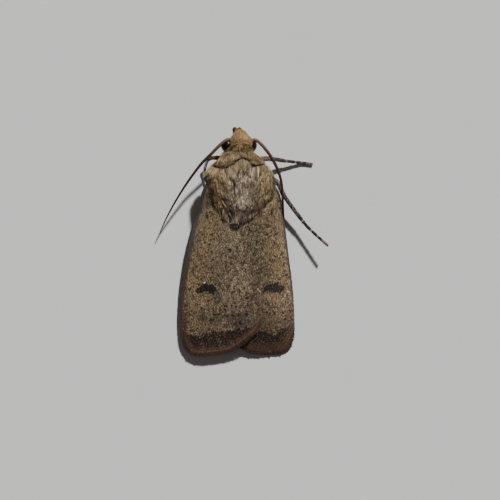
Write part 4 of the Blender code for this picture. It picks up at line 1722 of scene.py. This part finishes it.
    def right_marks(self) -> list[Blot | Streak]:
        """Markings of the right forewing."""
        specks = ((2.68, 11.56), (1.82, 11.6), (3.6, 10.8), (2.0, 9.5), (0.83, 7.65), (4.28, 11.89),
                  (1.46, 14.0), (1.0, 12.3), (0.9, 11.6))
        beyond = ((2.69, 4.12), (1.94, 4.05), (0.49, 4.25), (1.2, 4.1), (0.9, 3.5), (1.5, 3.2), (0.35, 3.4))
        return [
            Blot((2.2, 5.7), (0.8, 0.35), (0.27, 0.165, 0.10), 0.5, edge=0.8),
            Blot((0.7, 3.0), (0.7, 0.5), SOOT, 0.45, edge=0.8),
            *self.dots(specks, 0.14),
            *self.dots(beyond, 0.13),
            Streak(((2.22, 13.75), (2.25, 13.35)), 0.10, BLACKISH, 0.9),
            Streak(((1.6, 14.7), (1.7, 14.4)), 0.08, BLACKISH, 0.85),
            Streak(((2.4, 15.4), (2.6, 15.1)), 0.10, BLACKISH, 0.8),
            Blot((2.59, 12.18), (0.10, 0.10), BLACKISH, 0.85),
            Blot((2.10, 6.48), (0.68, 0.46), KIDNEY, 1.0),
            Blot((1.50, 6.37), (0.46, 0.38), KIDNEY, 1.0),
            Blot((2.80, 6.36), (0.56, 0.23), KIDNEY, 1.0, -24.0),
            Blot((3.55, 6.34), (0.08, 0.05), PALE_SCALE, 0.8),
            Blot((0.72, 6.09), (0.09, 0.06), PALE_SCALE, 0.9),
            Streak(((3.53, 6.43), (3.3, 6.1), (2.96, 6.43)), 0.035, PALE_SCALE, 0.5),
            Streak(((0.68, 6.15), (1.59, 4.72)), 0.03, PALE_SCALE, 0.5),
        ]

    def build(self) -> None:
        """Makes the four wings."""
        left = Forewing(
            Side.LEFT, self.left_outline, drop=0.12, fringe=0.40, row=0.072, kind="forewing",
            marks=self.left_marks(), border=self.left_border, red_rim=0.85, edge_width=0.44, tone=1.10,
        # The wider front-edge strip on this wing is partly painted shade of its turned-down edge.
        )
        right = Forewing(
            Side.RIGHT, self.right_outline, drop=0.30, fringe=0.40, row=0.072, kind="forewing",
            covered_by=left, marks=self.right_marks(), border=self.right_border, red_rim=1.25,
            line_strength=0.2, tone=0.74, flush=0.35, sag=0.42,
        )
        left.build()
        right.build()
        for side in Side:
            Hindwing(
                side, self.hind_outline, drop=0.48, fringe=0.3, row=0.13, kind="hindwing", grid=0.3
            ).build()


# ---------------------------------------------------------------- eyes, feelers and mouth


@dataclass
class Eyes:
    """The two compound eyes.

    Attributes:
        rounds: how often the ball's faces are split.
    """

    rounds: int = 5

    def build(self) -> None:
        """Makes both eyes where their solids are."""
        for side in Side:
            node = "eye_" + side.label
            low, high = (np.array(corner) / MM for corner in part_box(node))
            bm = bmesh.new()
            bmesh.ops.create_icosphere(
                bm, subdivisions=self.rounds, radius=(high[0] - low[0]) / 2,
                matrix=Matrix.Translation(Vector((low + high) / 2)),
            )
            install_bmesh(f"compound_{node}", bm, EyeFinish(), [node])


@dataclass
class Antennae:
    """Thread-like antennae, swept back over the wings' front edges.

    Attributes:
        lines: centre line of each, from the head to the tip.
        joints: number of joints.
        radii: share of the length and radius there.
    """

    joints: int = 72
    radii: tuple[Point, ...] = (
        (0.0, 0.18), (0.2, 0.168), (0.4, 0.14), (0.6, 0.112), (0.8, 0.085), (0.93, 0.06), (1.0, 0.036))
    lines: dict[Side, tuple[Point, ...]] = field(default_factory=lambda: {
        Side.LEFT: ((1.0, -9.45, 3.1), (1.45, -9.66, 3.16), (2.1, -9.22, 3.2), (2.92, -8.40, 3.12),
                    (4.0, -7.32, 3.0), (5.22, -5.70, 2.8), (6.35, -3.95, 2.35), (7.25, -2.35, 1.6),
                    (7.8, -1.2, 1.1), (7.98, -0.75, 0.95)),
        Side.RIGHT: ((-0.7, -9.45, 3.1), (-1.18, -9.62, 3.14), (-1.86, -9.06, 3.1), (-2.6, -8.1, 2.92),
                     (-3.22, -6.95, 2.68), (-3.62, -5.7, 2.45), (-3.72, -4.5, 2.2), (-3.8, -3.2, 1.7),
                     (-3.88, -2.0, 1.2), (-4.0, -0.7, 0.7), (-4.2, 0.6, 0.42)),
    })

    def build(self) -> None:
        """Makes both antennae."""
        profile = ((0.0, 0.86), (0.25, 1.0), (0.75, 1.0))
        fine = np.linspace(0, 1, 400)
        for side, keys in self.lines.items():
            shares = [(joint + place, swell) for joint in range(self.joints) for place, swell in profile]
            places, swells = np.array(shares + [(self.joints, 0.7)]).T
            places = places / self.joints
            line = between(places, fine, evenly(keys, len(fine)))
            radii = table_at(self.radii, places) * swells
            radii[:6] *= np.linspace(1.3, 1.05, 6)
            bm = limb(line, radii, 10)
            nodes = [f"antenna_{side.label}_{number}" for number in range(1, 5)]
            painter = lambda points: self.tints(points, line)
            install_bmesh(f"antenna_{side.label}", bm, FEELER, nodes, painter)

    def tints(self, points: Array, line: Array) -> Array:
        """Colours: red-brown near the head, darker further out, ringed at each joint."""
        _, along = off_line(points, line)
        share = along / run_of(line)[-1]
        rings = 0.5 + 0.5 * np.cos(share * self.joints * math.tau)
        base = even((0.150, 0.085, 0.052), len(points))
        tints = blend(base, (0.030, 0.016, 0.010), ease(share * 3.2))
        return tints * (0.7 + 0.6 * rings)[:, None]


@dataclass
class Mouth:
    """Palps in front of the face, and the coiled tongue between them.

    Attributes:
        radius: radius of a palp's core.
        coat_tint: colour of the palps' coat.
        tip_tint: colour of their cores and of the coat at their tips.
        root: where the tongue starts, between the palps.
        bend: how far the middle of a palp bends away from a straight line.
        spread: how far each palp starts from the tongue.
        tips: where the palps end.
    """

    radius: float = 0.17
    coat_tint: Tint = (0.31, 0.205, 0.088)
    tip_tint: Tint = (0.26, 0.18, 0.125)
    root: Point = (0.42, -9.85, 1.62)
    bend: Point = (0.0, -0.20, -0.14)
    spread: float = 0.32
    tips: dict[Side, Point] = field(default_factory=lambda: {
        Side.LEFT: (0.82, -10.78, 2.6), Side.RIGHT: (0.47, -10.74, 2.6)})

    def palp(self, side: Side) -> None:
        """One palp with its short coat."""
        foot = np.array(self.root) + np.array((side.value * self.spread, 0.0, 0.0))
        tip = np.array(self.tips[side])
        middle = (foot + tip) / 2 + np.array(self.bend)
        share = np.linspace(0, 1, 20)
        line = evenly([foot, middle, tip], len(share))
        thinned = 1.0 - 0.70 * ease((share - 0.70) / 0.16)
        radii = self.radius * (0.75 + 0.5 * np.sin(share * math.pi)) * thinned
        bm = limb(line, radii, 12, BACKWARDS)
        tints = lambda points: even(self.tip_tint, len(points))
        install_bmesh(f"palp_{side.label}", bm, CHITIN, [f"palp_{side.label}"], tints)
        hairs = limb_coat(line, radii, 2200, 0.24, 0.025, 0.20, 60 + int(side.value), BACKWARDS)
        near_tip = ease((hairs.spots[:, 1] - 0.72) / 0.10)
        hairs.length = hairs.length * (1.0 - 0.45 * near_tip)
        hairs.lift = hairs.lift * (1.0 - 0.5 * near_tip)
        count = len(hairs.roots)
        base = blend(even(self.coat_tint, count), self.tip_tint, near_tip)
        hairs.tints = base * scattered(np.random.default_rng(5), count, 0.22)
        install(f"palp_{side.label}_coat", hairs.mesh(SHORT_LOCK), HAIR)

    def tongue(self) -> None:
        """The coiled tongue, seen from below."""
        turns = np.linspace(0.0, 2.6 * math.tau, 130)
        radius = np.linspace(0.25, 0.06, len(turns))
        center = np.array(self.root) + np.array((0.0, -0.08, 0.02))
        line = center + np.stack((0 * turns, radius * np.cos(turns + 1.2), radius * np.sin(turns + 1.2)), 1)
        bm = limb(line, np.linspace(0.075, 0.025, len(turns)), 8, np.array((1.0, 0.0, 0.0)))
        tints = lambda points: even((0.07, 0.035, 0.015), len(points))
        install_bmesh("tongue", bm, CHITIN, (), tints)

    def build(self) -> None:
        """Makes the palps and the tongue."""
        for side in Side:
            self.palp(side)
        self.tongue()


def limb_coat(
    line: Array, radii: Array, count: int, length: float, width: float, lift: float, seed: int, hint: Array
) -> Coat:
    """Coat of a round limb, which lies towards its far end.

    Args:
        line: the limb's centre line.
        radii: its radius at each point of the line.
        count: number of scales or locks.
        length: their length.
        width: their half width.
        lift: how steeply they leave the limb.
        seed: number that picks the scatter.
        hint: what counts as upwards.

    Returns:
        The coat, in even colour. Its spots are the angle round the limb and the share along it.
    """
    rng = np.random.default_rng(seed)
    run = run_of(line)
    number = np.arange(count)
    place = (number + rng.random(count)) / count
    angle = (number * GOLDEN_ANGLE + rng.normal(0.0, 0.2, count)) % math.tau
    reach = place * run[-1]
    center, radius = between(reach, run, line), np.interp(reach, run, radii)
    way = unit(between(reach, run, unit(np.gradient(line, axis=0))))
    side = unit(np.cross(way, hint))
    rise = np.cross(side, way)
    out = side * np.cos(angle)[:, None] + rise * np.sin(angle)[:, None]
    return Coat(
        roots=center + out * (radius * 0.92)[:, None] - way * (length * 0.3),
        along=way,
        out=out,
        spots=np.stack((angle / math.tau, place), 1),
        tints=np.ones((count, 3)),
        length=length * rng.uniform(0.8, 1.2, count),
        width=width * rng.uniform(0.85, 1.15, count),
        depth=np.full(count, 0.007),
        lift=lift * rng.uniform(0.6, 1.4, count),
        bend=out * (-0.5 * lift * length) + side * rng.normal(0.0, 0.05 * length, (count, 1)),
    )


# ---------------------------------------------------------------- legs


@dataclass
class Leg:
    """One leg: coxa, femur, tibia and a tarsus of five joints.

    Attributes:
        name: start of its nodes' names.
        line: centre line from the coxa to the claws.
        knee: number of the line's point at the knee.
        ankle: number of the line's point at the end of the tibia.
        spurs: shares of the tibia at which a pair of spurs stands.
        joint_tint: colour of femur and knee.
        pale: how pale the femur and tibia are, from 0 to 1.
        shank_tint: colour of the tibia.
        foot_tint: colour of the tarsus between its rings.
        ring_tint: colour of the rings.
        tarsal_ends: shares of the tarsus at which its joints end.
        sole: height of the core of a foot on the ground.
    """

    name: str
    line: tuple[Point, ...]
    knee: int
    ankle: int
    spurs: tuple[float, ...]
    joint_tint: Tint
    pale: float = 0.3
    shank_tint: Tint = (0.020, 0.014, 0.012)
    foot_tint: Tint = (0.020, 0.014, 0.012)
    ring_tint: Tint = (0.44, 0.33, 0.25)
    tarsal_ends: tuple[float, ...] = (0.36, 0.605, 0.80, 0.89, 1.0)
    sole: float = 0.19

    def __post_init__(self) -> None:
        """Works out the leg's course and where its joints are."""
        keys = np.array(self.line)
        low = np.abs(keys[:, 2] - FOOT_HEIGHT) < 1e-6
        keys[low, 2] = self.sole
        last = 60 * len(keys) - 1
        run = run_of(curve(keys, np.linspace(0, len(keys) - 1, last + 1)))
        ends = [run[round(n / (len(keys) - 1) * last)] for n in (self.knee, self.ankle)]
        self.knee_at, self.ankle_at = (end / run[-1] for end in ends)
        self.course = evenly(keys, COURSE_POINTS)
        self.places = np.linspace(0, 1, COURSE_POINTS)

    def radii(self) -> Array:
        """Radius along the leg: stout femur, slim tibia, thin tarsus with a waist at each joint."""
        knee, ankle = self.knee_at, self.ankle_at
        foot = 1.0 - ankle
        rows = [(0.0, 0.22), (knee * 0.45, 0.25), (knee * 0.92, 0.24), (knee, 0.20),
                (knee + 0.12 * (ankle - knee), 0.20), (ankle - 0.08 * (ankle - knee), 0.18), (ankle, 0.14)]
        start = 0.0
        for end in self.tarsal_ends:
            swell = 0.155 - 0.035 * end
            rows.append((ankle + foot * (start + 0.15 * (end - start)), swell * 0.9))
            rows.append((ankle + foot * (start + 0.86 * (end - start)), swell))
            rows.append((ankle + foot * end, swell * 0.66))
            start = end
        places, values = np.array(rows).T
        return np.interp(self.places, places, values)

    def tints(self, share: Array, rng: np.random.Generator) -> Array:
        """Colours along the leg: dark joints with a pale ring at the end of each."""
        count = len(share)
        upper = share < self.ankle_at
        rings = np.zeros(count)
        foot = (share - self.ankle_at) / (1.0 - self.ankle_at)
        start = 0.0
        for end in self.tarsal_ends:
            rings = np.maximum(rings, ease(1.0 - np.abs(foot - end) / 0.055))
            rings = np.maximum(rings, 0.8 * ease(1.0 - np.abs(foot - start) / 0.03))
            start = end
        tints = np.where(upper[:, None], self.shank_tint, self.foot_tint)
        tints = blend(tints, self.ring_tint, np.where(upper, 0.0, rings))
        tints = blend(tints, self.joint_tint, ease((self.knee_at - share) / 0.05))
        flecks = (rng.random(count) < self.pale * 0.6) & upper
        tints = np.where(flecks[:, None], blend(tints, (0.44, 0.32, 0.26), np.full(count, 0.5)), tints)
        tints = blend(tints, self.ring_tint, 0.8 * ease(1.0 - np.abs(share - self.ankle_at) / 0.02))
        return tints * scattered(rng, count, 0.22)

    def at(self, share: float) -> tuple[Array, Array]:
        """Place and direction of the leg at a share of its length."""
        number = int(share * (COURSE_POINTS - 1))
        return self.course[number], unit(np.gradient(self.course, axis=0))[number]

    def spikes(self) -> bmesh.types.BMesh:
        """Spurs on the tibia, small spines on the tarsus, and the two claws."""
        bm = bmesh.new()
        foot = 1.0 - self.ankle_at
        spikes = [(self.knee_at + (self.ankle_at - self.knee_at) * place, SPUR) for place in self.spurs]
        spikes += [(self.ankle_at + foot * (end - 0.02), SPINE) for end in self.tarsal_ends[:4]]
        spikes.append((0.995, CLAW))
        drop = np.array((0.0, 0.0, -0.15))
        for share, (length, radius, splay) in spikes:
            start, way = self.at(share)
            for sign in (-1.0, 1.0):
                side = unit(np.cross(way, UP)) * sign
                bend = start + (way + side * splay) * length * 0.5
                tip = start + (way + side * splay * 0.9 + drop) * length
                tip[2] = max(tip[2], 0.06)
                radii = np.linspace(radius, radius * 0.15, 7)
                join_into(bm, limb(evenly([start, bend, tip], len(radii)), radii, 7))
        return bm

    def build(self) -> None:
        """Makes the leg, its spikes and its coat."""
        radii = self.radii()
        rng = np.random.default_rng(sum(map(ord, self.name)))
        nodes = [f"{self.name}_{part}" for part in ("femur", "tibia", "tarsus")]
        length = run_of(self.course)[-1]
        painter = lambda points: self.tints(off_line(points, self.course)[1] / length, rng) * 0.7
        install_bmesh(self.name, limb(self.course, radii, 12), CHITIN, nodes, painter)
        dark = lambda points: even((0.05, 0.028, 0.018), len(points))
        install_bmesh(f"{self.name}_spikes", self.spikes(), CHITIN, (), dark)
        coat = limb_coat(self.course, radii, 3400, 0.17, 0.042, 0.16, 3, UP)
        coat.tints = self.tints(coat.spots[:, 1], rng)
        install(f"{self.name}_coat", coat.mesh(TILE), WING_SCALE)


@dataclass
class Legs:
    """The six legs. The right middle leg is held clear of the surface.

    Attributes:
        knee_tint: colour of the forelegs down to the knee.
        dark_tint: the same of the other legs.
    """

    knee_tint: Tint = (0.15, 0.070, 0.045)
    dark_tint: Tint = (0.055, 0.036, 0.030)

    def build(self) -> None:
        """Makes the six legs."""
        foot = FOOT_HEIGHT
        legs = [
            Leg(
                "foreleg_left",
                ((0.9, -7.2, 1.5), (1.6, -7.7, 1.4), (2.5, -7.98, 1.5), (3.22, -7.88, 1.28),
                 (3.58, -7.25, 0.8), (3.72, -6.2, 0.25), (3.35, -4.7, foot)),
                2, 3, (), self.knee_tint, 0.5,
                shank_tint=self.knee_tint, foot_tint=(0.66, 0.62, 0.56), ring_tint=(0.10, 0.085, 0.075),
            ),
            Leg(
                "foreleg_right",
                ((-0.5, -7.2, 1.5), (-1.6, -7.85, 1.4), (-2.8, -7.88, 1.3), (-3.99, -7.72, 0.82),
                 (-4.9, -7.62, 0.45), (-5.7, -7.54, foot), (-6.55, -7.45, foot)),
                2, 3, (), self.knee_tint, 0.5,
            ),
            Leg(
                "midleg_left",
                ((1.2, -5.2, 1.25), (2.1, -5.0, 0.95), (3.0, -4.4, 1.05), (3.95, -2.2, 0.72),
                 (4.15, -0.9, foot), (4.05, 1.2, foot)),
                2, 3, (0.96,), self.dark_tint,
            ),
            Leg(
                "midleg_right",
                ((-1.0, -5.9, 1.25), (-2.2, -6.1, 1.0), (-3.3, -5.6, 1.2), (-3.95, -4.3, 1.42),
                 (-5.6, -2.05, 1.25), (-6.5, -1.05, 1.42), (-8.0, 0.33, 1.9)),
                3, 4, (0.96,), self.dark_tint, 0.55,
            ),
            Leg(
                "hindleg_left",
                ((1.0, -3.6, 1.2), (1.75, -2.9, 0.85), (2.5, -1.7, 0.85), (3.4, 2.4, 0.55),
                 (3.5, 3.7, foot), (3.25, 6.4, foot)),
                2, 3, (0.55, 0.97), self.dark_tint, 0.5,
            ),
            Leg(
                "hindleg_right",
                ((-0.7, -3.6, 1.2), (-1.4, -2.9, 0.85), (-2.05, -1.7, 0.85), (-2.75, 2.4, 0.55),
                 (-2.85, 3.7, foot), (-2.6, 6.4, foot)),
                2, 3, (0.55, 0.97), self.dark_tint, 0.5,
            ),
        ]
        for leg in legs:
            leg.build()


# ---------------------------------------------------------------- floor, light and camera


@dataclass
class Studio:
    """Pale floor, one key light with soft fill, and a camera straight above.

    Attributes:
        view: width of the view at the moth's back.
        lens: focal length of the camera.
        sensor: width of its sensor.
        level: height of the plane that the view is measured at.
        centre: middle of the view, off the middle of the moth's box.
        towards_light: direction of the key light.
        key: strength of the key light.
        key_tint: its colour.
        spread: angle that the key light fills, in degrees, which softens the shadows.
        fill: strength of the light from all round.
        fill_tint: its colour.
    """

    view: float = 47.5
    lens: float = 200.0
    sensor: float = 36.0
    level: float = 2.0
    centre: Point = (-0.70, 0.795)
    towards_light: Point = (-0.322, -0.697, 0.643)
    key: float = 4.4
    key_tint: Tint = (1.0, 0.985, 0.965)
    spread: float = 4.0
    fill: float = 0.09
    fill_tint: Tint = (1.0, 0.87, 0.82)

    def floor(self) -> None:
        """The floor that the moth rests on."""
        bm = bmesh.new()
        bmesh.ops.create_grid(bm, x_segments=4, y_segments=4, size=0.4)
        mesh = mesh_of(bm, "floor")
        mesh.materials.append(FloorFinish().make())
        floor = link("floor", mesh)

    def lights(self) -> None:
        """The key light and the fill."""
        light = bpy.data.lights.new("key_light", "SUN")
        light.energy = self.key
        light.angle = math.radians(self.spread)
        light.color = self.key_tint
        lamp = link("key_light", light)
        lamp.rotation_euler = Vector(self.towards_light).to_track_quat("Z", "Y").to_euler()
        world = bpy.data.worlds.new("fill")
        world.use_nodes = True
        background = world.node_tree.nodes["Background"]
        background.inputs["Color"].default_value = (*self.fill_tint, 1.0)
        background.inputs["Strength"].default_value = self.fill
        bpy.context.scene.world = world

    def camera(self) -> None:
        """The camera, which looks straight down with the head at the top."""
        low, high = (np.array(corner) for corner in CAD_BOX)
        middle = (low + high) / 2
        camera = bpy.data.cameras.new("camera")
        camera.lens = self.lens
        camera.sensor_width = self.sensor
        camera.clip_start = 0.005
        distance = self.view * self.lens / self.sensor
        holder = link("camera", camera)
        holder.location = (
            middle[0] + self.centre[0] * MM, middle[1] + self.centre[1] * MM, (self.level + distance) * MM
        )
        holder.rotation_euler = (0.0, 0.0, math.pi)
        bpy.context.scene.camera = holder

    def build(self) -> None:
        """Sets the stage."""
        self.floor()
        self.lights()
        self.camera()


def main() -> None:
    """Builds the moth piece by piece and sets the stage."""
    logging.basicConfig(level=logging.INFO, format="%(message)s")
    Body().build()
    Wings().build()
    Eyes().build()
    Antennae().build()
    Mouth().build()
    Legs().build()
    Studio().build()


if __name__ == "__main__":
    main()
